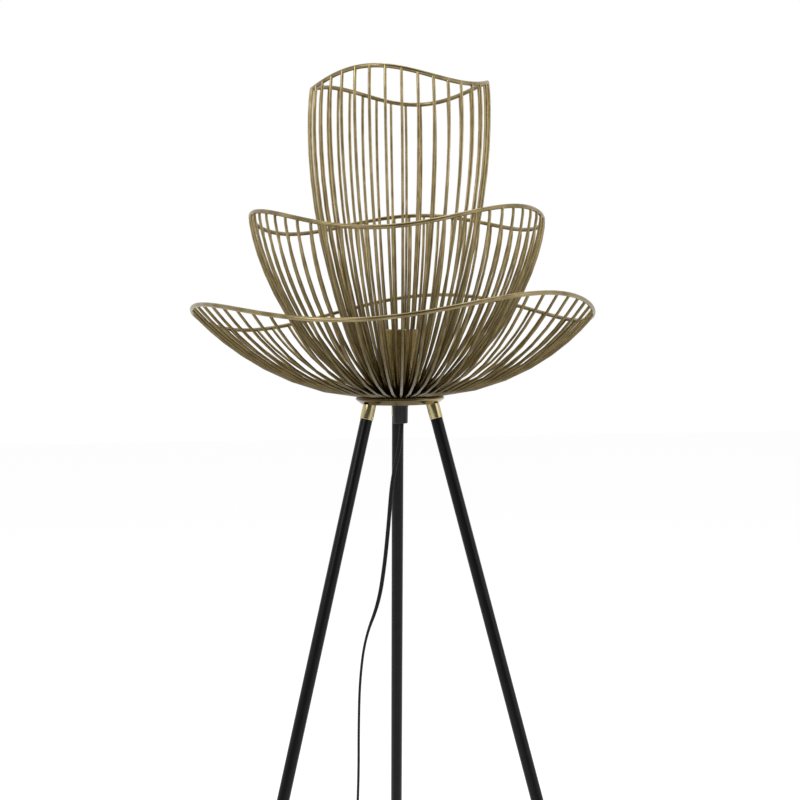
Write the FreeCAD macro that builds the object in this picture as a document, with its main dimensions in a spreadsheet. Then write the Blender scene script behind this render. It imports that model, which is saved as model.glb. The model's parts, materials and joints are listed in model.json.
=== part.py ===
import FreeCAD, Part
import math
import os

import Sketcher
from FreeCAD import Placement, Rotation, Vector

# Wire cage floor lamp: three nested wire cages on a turned brass pan, carried by a black tubular
# tripod, with a lampholder in a brass cup and a flat two-core lead with a foot switch and a plug.
#
# Frame: millimetres, +Z up, floor at Z = 0, -Y is the front, +X is the right seen from the front.
# The origin is on the floor, in the middle of the lamp's footprint; the lamp axis stands in front of
# it, because one leg points straight back. A turn is an angle from the front, growing towards +X.

# name, value (mm, degrees or a count), what it is
SIZES = [
    ("axis_forward", 37, "lamp axis, in front of the middle of the footprint"),
    ("leg_height", 1020, "floor to the underside of the pan"),
    ("fit_clearance", 0.1, "radial room in every screwed or pushed joint"),
    ("cup_radius", 25, "brass cup, outside"),
    ("cup_wall", 1.2, "brass cup, wall and floor"),
    ("cup_height", 86, "brass cup, height"),
    ("rib_wire", 3, "cage rib wire"),
    ("rib_seat", 6.5, "flat end of a rib, lying on its foot plate"),
    ("plate_gap", 3, "room between the ribs' ends and what stands inside them"),
    ("plate_thickness", 1.5, "each cage's foot plate"),
    ("rim_wire", 4.5, "cage rim wire"),
    ("pan_margin", 1, "brass pan, beyond the lowest foot plate"),
    ("pan_taper", 7.5, "brass pan, how far its side draws in downwards"),
    ("pan_height", 8, "brass pan, thickness"),
    ("pan_band", 2, "brass pan, straight band over the taper"),
    ("leg_radius", 8, "leg tube, outside"),
    ("leg_wall", 1.5, "leg tube, wall"),
    ("leg_splay", 15.6, "leg, lean from upright"),
    ("leg_inset", 3.5, "leg axis, inside the pan's lower edge"),
    ("ferrule_length", 20, "brass ferrule along the leg"),
    ("ferrule_step", 0.7, "brass ferrule over the tube"),
    ("stud_radius", 4, "leg stud"),
    ("stud_depth", 15, "leg stud, depth in the ferrule"),
    ("insert_length", 25, "threaded insert in the tube's top"),
    ("foot_wall", 1.7, "rubber foot round the tube"),
    ("foot_sleeve", 18, "rubber foot, length round the tube"),
    ("foot_sole", 5, "rubber under the tube, along the leg"),
    ("nipple_radius", 5, "threaded nipple, outside"),
    ("nipple_bore", 3.7, "threaded nipple, bore radius"),
    ("nipple_drop", 16, "threaded nipple, length below the pan"),
    ("nipple_rise", 28, "threaded nipple, length above the pan"),
    ("nipple_engage", 10, "threaded nipple, length inside the lampholder"),
    ("nut_corner", 8.1, "hexagon nut, radius over its corners"),
    ("nut_height", 3, "hexagon nut, height"),
    ("washer_radius", 10, "washer in the cup"),
    ("washer_height", 1, "washer in the cup, thickness"),
    ("holder_radius", 19.5, "lampholder, outside"),
    ("holder_wall", 2.5, "lampholder, wall of its shell"),
    ("holder_ledge", 1.5, "lampholder, ledge that carries the core"),
    ("holder_floor", 2.2, "lampholder, floor of its cap"),
    ("holder_neck_wall", 2.7, "lampholder, wall round the nipple"),
    ("holder_neck_height", 8, "lampholder, height of that wall"),
    ("holder_cap_height", 12, "lampholder, cap height"),
    ("holder_shell_height", 47, "lampholder, shell height"),
    ("holder_mouth", 14.6, "lampholder, mouth radius"),
    ("core_height", 14, "lampholder, insulating core"),
    ("core_recess", 2.5, "lampholder, recess in the core for the contacts"),
    ("core_recess_radius", 12, "lampholder, radius of that recess"),
    ("screw_shell_radius", 13.3, "lampholder, screw shell inside"),
    ("screw_shell_wall", 0.5, "lampholder, screw shell wall"),
    ("screw_shell_height", 27, "lampholder, screw shell height"),
    ("contact_radius", 4, "lampholder, centre contact"),
    ("contact_height", 2, "lampholder, centre contact"),
    ("side_contact_reach", 7.5, "lampholder, side contact from the axis"),
    ("side_contact_width", 3, "lampholder, side contact"),
    ("terminal_reach", 11, "lampholder, terminal screws from the axis"),
    ("terminal_radius", 2.6, "lampholder, terminal screw head"),
    ("terminal_height", 1.8, "lampholder, terminal screw head"),
    ("gland_radius", 9.8, "cord grip, outside"),
    ("gland_length", 26.6, "cord grip, length"),
    ("gland_room", 0.5, "cord grip, room round the pan nut and past the nipple"),
    ("cord_radius", 2.7, "flat two-core lead, half its width"),
    ("cord_thickness", 3.4, "flat two-core lead, across its flats"),
    ("cord_offset", 2, "lead from the lamp axis where it leaves the grip"),
    ("switch_length", 84, "foot switch, length"),
    ("switch_width", 34, "foot switch, width"),
    ("switch_base_height", 7, "foot switch, lower shell"),
    ("switch_cover_height", 15, "foot switch, upper shell"),
    ("switch_wall", 2.2, "foot switch, walls"),
    ("switch_top", 2.5, "foot switch, thickness round the button"),
    ("switch_edge", 2.5, "foot switch, chamfer of the upper edge"),
    ("switch_x", -80, "foot switch, middle from the lamp axis"),
    ("switch_y", 120, "foot switch, middle behind the lamp axis"),
    ("button_radius", 11, "foot button"),
    ("button_flange", 2, "foot button, flange beyond the button"),
    ("button_flange_height", 2.5, "foot button, flange thickness"),
    ("button_rise", 4, "foot button, height above the shell at rest"),
    ("button_travel", 3, "foot button, travel"),
    ("running_gap", 0.3, "room round what moves"),
    ("block_width", 18, "switch block, across"),
    ("block_length", 30, "switch block, along"),
    ("switch_screw_radius", 1.6, "foot switch screw"),
    ("switch_screw_rise", 3, "foot switch screw, length in the upper shell"),
    ("switch_screw_x", 9, "foot switch screws, from the middle line"),
    ("switch_screw_y", 29, "foot switch screws, from the middle"),
    ("grommet_length", 20, "strain relief, length outside the switch"),
    ("grommet_hold", 6, "strain relief, length inside the switch"),
    ("grommet_radius", 4.6, "strain relief at the switch"),
    ("grommet_tip_radius", 3.6, "strain relief at the lead"),
    ("coil_x", -50, "coil's middle from the lamp axis"),
    ("coil_y", 250, "coil's middle behind the lamp axis"),
    ("coil_radius", 33, "coil, outermost centre-line radius"),
    ("coil_half_turns", 2, "coil, half turns in each layer, before and after the climb"),
    ("coil_step", 6.8, "coil, from one turn to the next"),
    ("coil_layer", 6.8, "coil, from the lower layer to the upper"),
    ("plug_y", 190, "lead's end at the plug, behind the lamp axis"),
    ("plug_thickness", 13.7, "plug, thickness"),
    ("plug_half_width", 17.6, "plug, half its width at the pins"),
    ("plug_neck_half_width", 6.5, "plug, half its width at its tail"),
    ("plug_straight", 13, "plug, length of its full width"),
    ("plug_length", 34, "plug, length of the flat body"),
    ("plug_edge", 2.5, "plug, chamfer of its edges"),
    ("plug_tail_length", 20, "plug, tapered tail"),
    ("plug_tail_radius", 4.8, "plug, tail at the body"),
    ("pin_radius", 2, "plug pin"),
    ("pin_spacing", 18.6, "plug pins, apart"),
    ("pin_length", 19, "plug pin, length"),
]

# Each cage, from the pan upwards. A rib leaves its foot plate at start_angle and meets the rim at
# end_angle, both from the horizontal, and the pulls say how far it holds each direction. The rim is
# one round wire bent into three waves: rise is its mean height over the pan's underside, wave, lean
# and saddle are how far it swings up and down three times, once and twice round, and shift is how
# far it sits off the lamp axis. The turns say where each of these is highest or furthest.
CAGE_KEYS = (
    "ribs", "first_rib", "runs", "start_angle", "start_pull", "end_angle", "end_pull",
    "rim_radius", "rim_rise", "wave", "wave_turn", "lean", "lean_turn", "saddle", "saddle_turn",
    "shift", "shift_turn", "rim_sides",
)
CAGES = {
    "low_cage": (60, 3.5, 4, 4.3, 129, 48, 12, 265.4, 124.5, 17.2, 44.9, 5.4, 55.4, 6.2, -14, 8, -90, 54),
    "middle_cage": (57, 1, 4, 31.5, 137, 93.6, 24.5, 193.5, 243, 12.7, 48, 4, 170, 0, 0, 1, -90, 48),
    "top_cage": (36, 0, 5, 64.7, 245, 109, 5, 116, 420, 8, -18.5, 4, -46, 0, 0, 5, 90, 36),
}
for cage, its_sizes in CAGES.items():
    for key, value in zip(CAGE_KEYS, its_sizes):
        SIZES.append((f"{cage}_{key}", value, f"{cage} {key}".replace("_", " ")))

# Where the lead goes between the grip and the foot switch, from the lamp axis: right, back, up.
# It hangs in slow bends beside the rear leg, meets the floor and turns back towards the switch.
DROP_POINTS = [
    (-1, 0, 962),
    (-12, 1, 918),
    (-17, 2, 862),
    (-23, 3, 806),
    (-32, 2, 752),
    (-51, 1, 706),
    (-59, 0, 650),
    (-61.5, 1, 586),
    (-62.5, 0, 520),
    (-66, -2, 452),
    (-70, -3, 382),
    (-75, -7, 312),
    (-78, -10, 242),
    (-80, -16, 176),
    (-80.5, -21, 116),
    (-79.5, -25, 76),
    (-80, -20, 40),
    (-80, -2, 14),
    (-80, 22, 3),
]

DOC = FreeCAD.newDocument("wire_cage_floor_lamp")
SHEET = DOC.addObject("Spreadsheet::Sheet", "sizes")
for row, (alias, value, meaning) in enumerate(SIZES, 1):
    SHEET.set(f"A{row}", meaning)
    SHEET.set(f"B{row}", str(value))
    SHEET.setAlias(f"B{row}", alias)
DOC.recompute()

SUB_PARTS = []
UP = Vector(0, 0, 1)


def size(alias):
    return float(SHEET.get(alias))


def add_sub_part(thing, label):
    """The object becomes one named sub-part."""
    thing.Label = label
    SUB_PARTS.append(thing)
    return thing


def add_shape(label, shape):
    """A sub-part whose shape comes straight from Part, drawn from the lamp axis."""
    thing = DOC.addObject("Part::Feature", label)
    thing.Shape = shape
    thing.Placement = Placement(Vector(0, -size("axis_forward"), 0), Rotation())
    return add_sub_part(thing, label)


def place(thing, x="0", y="0", z="0", yaw="0", pitch="0", roll="0"):
    """Binds a Placement to the sheet: x and y from the lamp axis, z from the floor, turns in degrees."""
    turn = f"rotation(({yaw}) * 1 deg; ({pitch}) * 1 deg; ({roll}) * 1 deg)"
    spot = f"vector({x}; ({y}) - sizes.axis_forward; {z})"
    thing.setExpression("Placement", f"placement({spot}; {turn})")
    return thing


def sketch_on(body, plane_role, name):
    """An empty sketch on one of the body's own planes."""
    sketch = body.newObject("Sketcher::SketchObject", name)
    plane = [feature for feature in body.Origin.OriginFeatures if feature.Role == plane_role][0]
    sketch.AttachmentSupport = [(plane, "")]
    sketch.MapMode = "FlatFace"
    sketch.Visibility = False
    return sketch


def bind(sketch, kind, expression, value, *where):
    """A dimension of the sketch, bound to the sheet; value is only where the drawing starts."""
    number = sketch.addConstraint(Sketcher.Constraint(kind, *where, value))
    name = f"{kind}{number}"
    sketch.renameConstraint(number, name)
    sketch.setExpression(f"Constraints.{name}", expression)


def closed_outline(body, plane_role, outline):
    """A closed outline of straight lines, each corner bound to the sheet in both directions."""
    sketch = sketch_on(body, plane_role, body.Name + "_outline")
    count = len(outline)
    start = []
    for i in range(count):
        turn = 2 * math.pi * i / count
        start.append(Vector(30 - 20 * math.cos(turn), 30 - 20 * math.sin(turn), 0))
    for i in range(count):
        sketch.addGeometry(Part.LineSegment(start[i], start[(i + 1) % count]), False)
    for i in range(count):
        sketch.addConstraint(Sketcher.Constraint("Coincident", i, 2, (i + 1) % count, 1))
    for i, (across, up) in enumerate(outline):
        for kind, expression, value, axis in (
            ("DistanceX", across, start[i].x, -2),
            ("DistanceY", up, start[i].y, -1),
        ):
            if expression == "0":
                sketch.addConstraint(Sketcher.Constraint("PointOnObject", i, 1, axis))
            else:
                bind(sketch, kind, expression, value, -1, 1, i, 1)
    return sketch


def turned(name, outline):
    """A turned piece: the outline of (radius, height) corners goes once round the body's own Z."""
    body = DOC.addObject("PartDesign::Body", name)
    sketch = closed_outline(body, "XZ_Plane", outline)
    spin = body.newObject("PartDesign::Revolution", name + "_turn")
    spin.Profile = sketch
    spin.ReferenceAxis = (sketch, ["V_Axis"])
    spin.Angle = 360
    return body


def padded(name, sketch_maker, height):
    """A flat piece: a sketch in the body's own XY plane, raised by height."""
    body = DOC.addObject("PartDesign::Body", name)
    sketch = sketch_maker(body)
    pad = body.newObject("PartDesign::Pad", name + "_pad")
    pad.Profile = sketch
    pad.setExpression("Length", height)
    return body


def stadium(body, half_gap, radius):
    """A sketch with two straight sides along Y and round ends, its middle on the body's origin."""
    sketch = sketch_on(body, "XY_Plane", body.Name + "_outline")
    r, g = 15.0, 25.0
    sketch.addGeometry(Part.ArcOfCircle(Part.Circle(Vector(0, g, 0), UP, r), 0, math.pi), False)
    sketch.addGeometry(Part.LineSegment(Vector(-r, g, 0), Vector(-r, -g, 0)), False)
    sketch.addGeometry(
        Part.ArcOfCircle(Part.Circle(Vector(0, -g, 0), UP, r), math.pi, 2 * math.pi), False
    )
    sketch.addGeometry(Part.LineSegment(Vector(r, -g, 0), Vector(r, g, 0)), False)
    for i in range(4):
        sketch.addConstraint(Sketcher.Constraint("Tangent", i, 2, (i + 1) % 4, 1))
    for arc, sign in ((0, ""), (2, "-1 * ")):
        sketch.addConstraint(Sketcher.Constraint("PointOnObject", arc, 3, -2))
        bind(sketch, "DistanceY", f"{sign}({half_gap})", g if arc == 0 else -g, -1, 1, arc, 3)
    bind(sketch, "Radius", radius, r, 0)
    return sketch


def primitive(kind, name, **bound):
    """A Part primitive with its sizes bound to the sheet."""
    thing = DOC.addObject(kind, name)
    for key, expression in bound.items():
        thing.setExpression(key, expression)
    return thing


def cut(name, base, *tools):
    """base less every tool, one after the other."""
    for i, tool in enumerate(tools, 1):
        last = i == len(tools)
        thing = DOC.addObject("Part::Cut", name if last else f"{name}_cut{i}")
        thing.Base = base
        thing.Tool = tool
        base = thing
    return base


def group(name, members):
    """Separate solids that share one name, such as a set of screws."""
    thing = DOC.addObject("Part::Compound", name)
    thing.Links = members
    return thing


def chamfer_top(body, width):
    """Chamfers every edge of a padded body's upper face."""
    DOC.recompute()
    pad = body.Tip
    heights = [face.CenterOfMass.z for face in pad.Shape.Faces]
    edge = body.newObject("PartDesign::Chamfer", body.Name + "_edge")
    edge.Base = (pad, [f"Face{heights.index(max(heights)) + 1}"])
    edge.setExpression("Size", width)


# ---------------------------------------------------------------- the pan and what is stacked on it

CLEAR_BORE = "sizes.nipple_radius + sizes.fit_clearance"
PLATE_STEP = "(sizes.plate_gap + sizes.rib_seat + sizes.rib_wire / 2)"
LOW_PLATE = f"sizes.cup_radius + 3 * {PLATE_STEP}"
PAN_TOP = "sizes.leg_height + sizes.pan_height"
STACK_TOP = f"{PAN_TOP} + 3 * sizes.plate_thickness"


def make_pan():
    """Turned brass pan: a tapered side under a narrow straight band."""
    outline = [
        (CLEAR_BORE, "0"),
        (f"{LOW_PLATE} + sizes.pan_margin - sizes.pan_taper", "0"),
        (f"{LOW_PLATE} + sizes.pan_margin", "sizes.pan_height - sizes.pan_band"),
        (f"{LOW_PLATE} + sizes.pan_margin", "sizes.pan_height"),
        (CLEAR_BORE, "sizes.pan_height"),
    ]
    return add_sub_part(place(turned("base_pan", outline), z="sizes.leg_height"), "base_pan")


def make_nipple():
    """Threaded tube that clamps the grip, pan, cages, cup and lampholder together."""
    length = "sizes.nipple_drop + sizes.pan_height + sizes.nipple_rise"
    outline = [
        ("sizes.nipple_bore", "0"),
        ("sizes.nipple_radius", "0"),
        ("sizes.nipple_radius", length),
        ("sizes.nipple_bore", length),
    ]
    nipple = turned("threaded_nipple", outline)
    add_sub_part(place(nipple, z="sizes.leg_height - sizes.nipple_drop"), "threaded_nipple")


def make_nut(label, z):
    """Thin hexagon nut on the threaded tube."""
    hexagon = primitive(
        "Part::Prism", label + "_hexagon", Circumradius="sizes.nut_corner", Height="sizes.nut_height"
    )
    hexagon.Polygon = 6
    bore = primitive("Part::Cylinder", label + "_bore", Radius=CLEAR_BORE, Height="sizes.nut_height")
    add_sub_part(place(cut(label, hexagon, bore), z=z), label)


def make_cup():
    """Deep brass cup round the lampholder, its washer and its nut."""
    inside = "sizes.cup_radius - sizes.cup_wall"
    outline = [
        (CLEAR_BORE, "0"),
        ("sizes.cup_radius", "0"),
        ("sizes.cup_radius", "sizes.cup_height"),
        (inside, "sizes.cup_height"),
        (inside, "sizes.cup_wall"),
        (CLEAR_BORE, "sizes.cup_wall"),
    ]
    add_sub_part(place(turned("holder_cup", outline), z=STACK_TOP), "holder_cup")
    ring = [
        (CLEAR_BORE, "0"),
        ("sizes.washer_radius", "0"),
        ("sizes.washer_radius", "sizes.washer_height"),
        (CLEAR_BORE, "sizes.washer_height"),
    ]
    cup_floor = f"{STACK_TOP} + sizes.cup_wall"
    add_sub_part(place(turned("cup_washer", ring), z=cup_floor), "cup_washer")
    make_nut("cup_nut", f"{cup_floor} + sizes.washer_height")
    make_nut("pan_nut", "sizes.leg_height - sizes.nut_height")


# ------------------------------------------------------------------------------- the lampholder

HOLDER_BOTTOM = f"{PAN_TOP} + sizes.nipple_rise - sizes.nipple_engage"
HOLDER_JOINT = f"{HOLDER_BOTTOM} + sizes.holder_cap_height"
CORE_TOP = f"{HOLDER_JOINT} + sizes.core_height"
RECESS_FLOOR = f"{CORE_TOP} - sizes.core_recess"
HOLDER_INSIDE = "sizes.holder_radius - sizes.holder_wall"


def make_holder_housing():
    """The lampholder's cap, screwed on the nipple, and its shell with an inward lip."""
    ledge = f"{HOLDER_INSIDE} - sizes.holder_ledge"
    neck = f"{CLEAR_BORE} + sizes.holder_neck_wall"
    cap = [
        (CLEAR_BORE, "0"),
        ("sizes.holder_radius", "0"),
        ("sizes.holder_radius", "sizes.holder_cap_height"),
        (ledge, "sizes.holder_cap_height"),
        (ledge, "sizes.holder_floor"),
        (neck, "sizes.holder_floor"),
        (neck, "sizes.holder_neck_height"),
        (CLEAR_BORE, "sizes.holder_neck_height"),
    ]
    add_sub_part(place(turned("holder_base", cap), z=HOLDER_BOTTOM), "holder_base")
    shell = [
        (HOLDER_INSIDE, "0"),
        ("sizes.holder_radius", "0"),
        ("sizes.holder_radius", "sizes.holder_shell_height"),
        ("sizes.holder_mouth", "sizes.holder_shell_height"),
        ("sizes.holder_mouth", "sizes.holder_shell_height - sizes.holder_wall"),
        (HOLDER_INSIDE, "sizes.holder_shell_height - sizes.holder_wall"),
    ]
    add_sub_part(place(turned("holder_shell", shell), z=HOLDER_JOINT), "holder_shell")


def make_holder_inside():
    """The insulating core, recessed for its contacts, with its screw shell and terminal screws."""
    outside = f"{HOLDER_INSIDE} - sizes.fit_clearance"
    core = [
        ("0", "0"),
        (outside, "0"),
        (outside, "sizes.core_height"),
        ("sizes.core_recess_radius", "sizes.core_height"),
        ("sizes.core_recess_radius", "sizes.core_height - sizes.core_recess"),
        ("0", "sizes.core_height - sizes.core_recess"),
    ]
    add_sub_part(place(turned("holder_core", core), z=HOLDER_JOINT), "holder_core")
    ring = [
        ("sizes.screw_shell_radius", "0"),
        ("sizes.screw_shell_radius + sizes.screw_shell_wall", "0"),
        ("sizes.screw_shell_radius + sizes.screw_shell_wall", "sizes.screw_shell_height"),
        ("sizes.screw_shell_radius", "sizes.screw_shell_height"),
    ]
    add_sub_part(place(turned("screw_shell", ring), z=CORE_TOP), "screw_shell")
    contact = primitive(
        "Part::Cylinder",
        "centre_contact",
        Radius="sizes.contact_radius",
        Height="sizes.contact_height",
    )
    add_sub_part(place(contact, z=RECESS_FLOOR), "centre_contact")
    strip = primitive(
        "Part::Box",
        "side_contact",
        Length="sizes.side_contact_width",
        Width="sizes.side_contact_width",
        Height="sizes.contact_height",
    )
    middle = "-sizes.side_contact_width / 2"
    strip = place(strip, x="sizes.side_contact_reach", y=middle, z=RECESS_FLOOR)
    add_sub_part(strip, "side_contact")
    heads = []
    for side, reach in (("left", "-sizes.terminal_reach"), ("right", "sizes.terminal_reach")):
        head = primitive(
            "Part::Cylinder",
            "terminal_screw_" + side,
            Radius="sizes.terminal_radius",
            Height="sizes.terminal_height",
        )
        heads.append(place(head, x=reach, z=f"{HOLDER_JOINT} - sizes.terminal_height"))
    add_sub_part(group("terminal_screws", heads), "terminal_screws")


# ------------------------------------------------------------------------------- the three cages


def rim_point(cage, turn):
    """Radius and height over the floor of a cage's rim in the direction turn."""

    def swing(height, direction, waves):
        angle = math.radians(waves * (turn - size(f"{cage}_{direction}")))
        return size(f"{cage}_{height}") * math.cos(angle)

    radius = size(f"{cage}_rim_radius") + swing("shift", "shift_turn", 1)
    height = size("leg_height") + size(f"{cage}_rim_rise") + swing("wave", "wave_turn", 3)
    height += swing("lean", "lean_turn", 1) + swing("saddle", "saddle_turn", 2)
    return radius, height


def rib_line(cage, plate_radius, plate_top, turn):
    """A rib's centre line in (radius, 0, height): its flat seat, then a curve up to the rim."""
    radius, height = rim_point(cage, turn)
    half = size("rib_wire") / 2
    start = Vector(plate_radius - half, 0, plate_top + half)
    end = Vector(radius, 0, height)
    rise = math.radians(size(f"{cage}_start_angle"))
    meet = math.radians(size(f"{cage}_end_angle"))
    start_pull = Vector(math.cos(rise), 0, math.sin(rise)) * size(f"{cage}_start_pull")
    end_pull = Vector(math.cos(meet), 0, math.sin(meet)) * size(f"{cage}_end_pull")
    curve = Part.BezierCurve()
    curve.setPoles([start, start + start_pull, end - end_pull, end])
    runs = int(size(f"{cage}_runs"))
    return [start - Vector(size("rib_seat"), 0, 0)] + [curve.value(i / runs) for i in range(runs + 1)]


def unit(vector):
    return vector * (1 / vector.Length)


def ring_of_corners(sides, centre, across, up, radius):
    """A polygon round centre in the plane of across and up, its corners radius away."""
    corners = []
    for k in range(sides):
        angle = 2 * math.pi * k / sides
        corners.append(centre + (across * math.cos(angle) + up * math.sin(angle)) * radius)
    return Part.makePolygon(corners + corners[:1])


def rib_outline(points, half):
    """Both edges of a wire of half-width half that follows the points, mitred at each bend."""
    left, right = [], []
    for i, point in enumerate(points):
        before = unit(point - points[i - 1]) if i > 0 else unit(points[1] - points[0])
        after = unit(points[i + 1] - point) if i < len(points) - 1 else before
        along = unit(before + after)
        across = Vector(-along.z, 0, along.x)
        mitre = half / across.dot(Vector(-before.z, 0, before.x))
        left.append(point + across * mitre)
        right.append(point - across * mitre)
    return left + right[::-1]


def make_rib(cage, plate_radius, plate_top, turn):
    """One rib: the wire's outline in its own upright plane, as wide as it is thick."""
    half = size("rib_wire") / 2
    outline = rib_outline(rib_line(cage, plate_radius, plate_top, turn), half)
    face = Part.Face(Part.makePolygon([p - Vector(0, half, 0) for p in outline + outline[:1]]))
    rib = face.extrude(Vector(0, 2 * half, 0))
    rib.rotate(Vector(), UP, turn - 90)
    return rib


def make_rim(cage):
    """The rim: a six-sided wire bent round the rim's waves."""
    sides = int(size(f"{cage}_rim_sides"))
    half = size("rim_wire") / 2
    sections = []
    for i in range(sides):
        turn = 360 * i / sides
        radius, height = rim_point(cage, turn)
        outward = Vector(math.sin(math.radians(turn)), -math.cos(math.radians(turn)), 0)
        sections.append(ring_of_corners(6, outward * radius + UP * height, outward, UP, half))
    return Part.makeLoft(sections, True, True, True)


def make_cage(cage, level):
    """Foot plate, ribs and rim of one cage; level counts the plates that lie under it on the pan."""
    plate = f"sizes.cup_radius + {3 - level} * {PLATE_STEP}"
    outline = [
        (CLEAR_BORE, "0"),
        (plate, "0"),
        (plate, "sizes.plate_thickness"),
        (CLEAR_BORE, "sizes.plate_thickness"),
    ]
    body = place(turned(f"{cage}_foot", outline), z=f"{PAN_TOP} + {level} * sizes.plate_thickness")
    add_sub_part(body, f"{cage}_foot")
    step = size("plate_gap") + size("rib_seat") + size("rib_wire") / 2
    plate_radius = size("cup_radius") + (3 - level) * step
    plate_top = size("leg_height") + size("pan_height") + (level + 1) * size("plate_thickness")
    count = int(size(f"{cage}_ribs"))
    turns = [size(f"{cage}_first_rib") + 360 * i / count for i in range(count)]
    ribs = [make_rib(cage, plate_radius, plate_top, turn) for turn in turns]
    add_shape(f"{cage}_ribs", Part.makeCompound(ribs))
    add_shape(f"{cage}_rim", make_rim(cage))


# ------------------------------------------------------------------------------------- the tripod

LEGS = (("front_left", -60), ("front_right", 60), ("rear", 180))
LEG_LINE = "sizes.leg_height / cos(sizes.leg_splay * 1 deg)"
LEG_REACH = f"({LOW_PLATE} + sizes.pan_margin - sizes.pan_taper - sizes.leg_inset)"
STUD_BORE = "sizes.stud_radius + sizes.fit_clearance"


def on_leg(thing, turn):
    """Puts a piece drawn along Z on a leg's line, its zero where that line meets the pan."""
    side = math.sin(math.radians(turn))
    back = -math.cos(math.radians(turn))
    return place(
        thing,
        x=f"{LEG_REACH} * {side:.6f}",
        y=f"{LEG_REACH} * {back:.6f}",
        z="sizes.leg_height",
        yaw=str(turn),
        roll="-sizes.leg_splay",
    )


def along_leg(name, turn, outline):
    """A turned piece on a leg: corners are (radius, distance down the leg from the pan)."""
    return on_leg(turned(name, [(r, d if d == "0" else f"-1 * ({d})") for r, d in outline]), turn)


def make_ferrule(label, turn, pan):
    """Brass ferrule, brazed under the pan: its top follows the pan's underside and tapered side."""
    outside = "sizes.leg_radius + sizes.ferrule_step"
    blind_end = "sizes.ferrule_length - sizes.stud_depth"
    above = "-sizes.pan_height / 2"
    blank = along_leg(
        label + "_blank",
        turn,
        [
            (STUD_BORE, "sizes.ferrule_length"),
            (outside, "sizes.ferrule_length"),
            (outside, above),
            ("0", above),
            ("0", blind_end),
            (STUD_BORE, blind_end),
        ],
    )
    add_sub_part(cut(label, blank, pan), label)


def make_leg_tube(label, turn):
    """Black tube from the ferrule down into the rubber foot."""
    inside = "sizes.leg_radius - sizes.leg_wall"
    end = f"{LEG_LINE} - sizes.foot_sole"
    outline = [
        (inside, "sizes.ferrule_length"),
        ("sizes.leg_radius", "sizes.ferrule_length"),
        ("sizes.leg_radius", end),
        (inside, end),
    ]
    add_sub_part(along_leg(label, turn, outline), label)


def make_foot(label, turn):
    """Rubber foot: a sleeve round the tube over a sole that is cut level with the floor."""
    inside = "sizes.leg_radius + sizes.fit_clearance"
    outside = f"{inside} + sizes.foot_wall"
    sole = f"{LEG_LINE} - sizes.foot_sole"
    below = f"{LEG_LINE} + sizes.foot_sole"
    blank = along_leg(
        label + "_blank",
        turn,
        [
            (inside, f"{sole} - sizes.foot_sleeve"),
            (outside, f"{sole} - sizes.foot_sleeve"),
            (outside, below),
            ("0", below),
            ("0", sole),
            (inside, sole),
        ],
    )
    room = "6 * sizes.leg_radius"
    floor = primitive("Part::Box", label + "_floor", Length=room, Width=room, Height=room)
    reach = f"({LEG_REACH} + sizes.leg_height * tan(sizes.leg_splay * 1 deg))"
    side = math.sin(math.radians(turn))
    back = -math.cos(math.radians(turn))
    place(
        floor,
        x=f"{reach} * {side:.6f} - 3 * sizes.leg_radius",
        y=f"{reach} * {back:.6f} - 3 * sizes.leg_radius",
        z=f"0 - {room}",
    )
    return cut(label, blank, floor)


def make_tripod(pan):
    """Three legs, each a ferrule, a stud, an insert, a tube and a foot."""
    studs, inserts, feet = [], [], []
    stud_start = "sizes.ferrule_length - sizes.stud_depth"
    insert_end = "sizes.ferrule_length + sizes.insert_length"
    insert_radius = "sizes.leg_radius - sizes.leg_wall - sizes.fit_clearance"
    for corner, turn in LEGS:
        make_ferrule("ferrule_" + corner, turn, pan)
        make_leg_tube("leg_" + corner, turn)
        feet.append(make_foot("foot_" + corner, turn))
        stud = [
            ("0", stud_start),
            ("sizes.stud_radius", stud_start),
            ("sizes.stud_radius", insert_end),
            ("0", insert_end),
        ]
        studs.append(along_leg("stud_" + corner, turn, stud))
        insert = [
            (STUD_BORE, "sizes.ferrule_length"),
            (insert_radius, "sizes.ferrule_length"),
            (insert_radius, insert_end),
            (STUD_BORE, insert_end),
        ]
        inserts.append(along_leg("insert_" + corner, turn, insert))
    add_sub_part(group("leg_studs", studs), "leg_studs")
    add_sub_part(group("leg_inserts", inserts), "leg_inserts")
    add_sub_part(group("rubber_feet", feet), "rubber_feet")


# --------------------------------------------------------------------- the grip and the foot switch


def make_gland():
    """Moulded cord grip under the pan: a hood over the nut and nipple with a solid lower end."""
    room = "sizes.nut_corner + sizes.gland_room"
    past_nut = "-1 * (sizes.nut_height + sizes.gland_room)"
    past_nipple = "-1 * (sizes.nipple_drop + sizes.gland_room)"
    outline = [
        (room, "0"),
        ("sizes.gland_radius", "0"),
        ("sizes.gland_radius", "-1 * sizes.gland_length"),
        ("0", "-1 * sizes.gland_length"),
        ("0", past_nipple),
        (CLEAR_BORE, past_nipple),
        (CLEAR_BORE, past_nut),
        (room, past_nut),
    ]
    add_sub_part(place(turned("cord_gland", outline), z="sizes.leg_height"), "cord_gland")


SWITCH_HALF_GAP = "(sizes.switch_length - sizes.switch_width) / 2"
SWITCH_CEILING = "sizes.switch_base_height + sizes.switch_cover_height - sizes.switch_top"
FLANGE_TOP = f"{SWITCH_CEILING} - sizes.running_gap"


def at_switch(thing, x="0", y="0", z="0", **turns):
    """Places a piece from the middle of the foot switch."""
    return place(thing, x=f"sizes.switch_x + {x}", y=f"sizes.switch_y + {y}", z=z, **turns)


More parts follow.
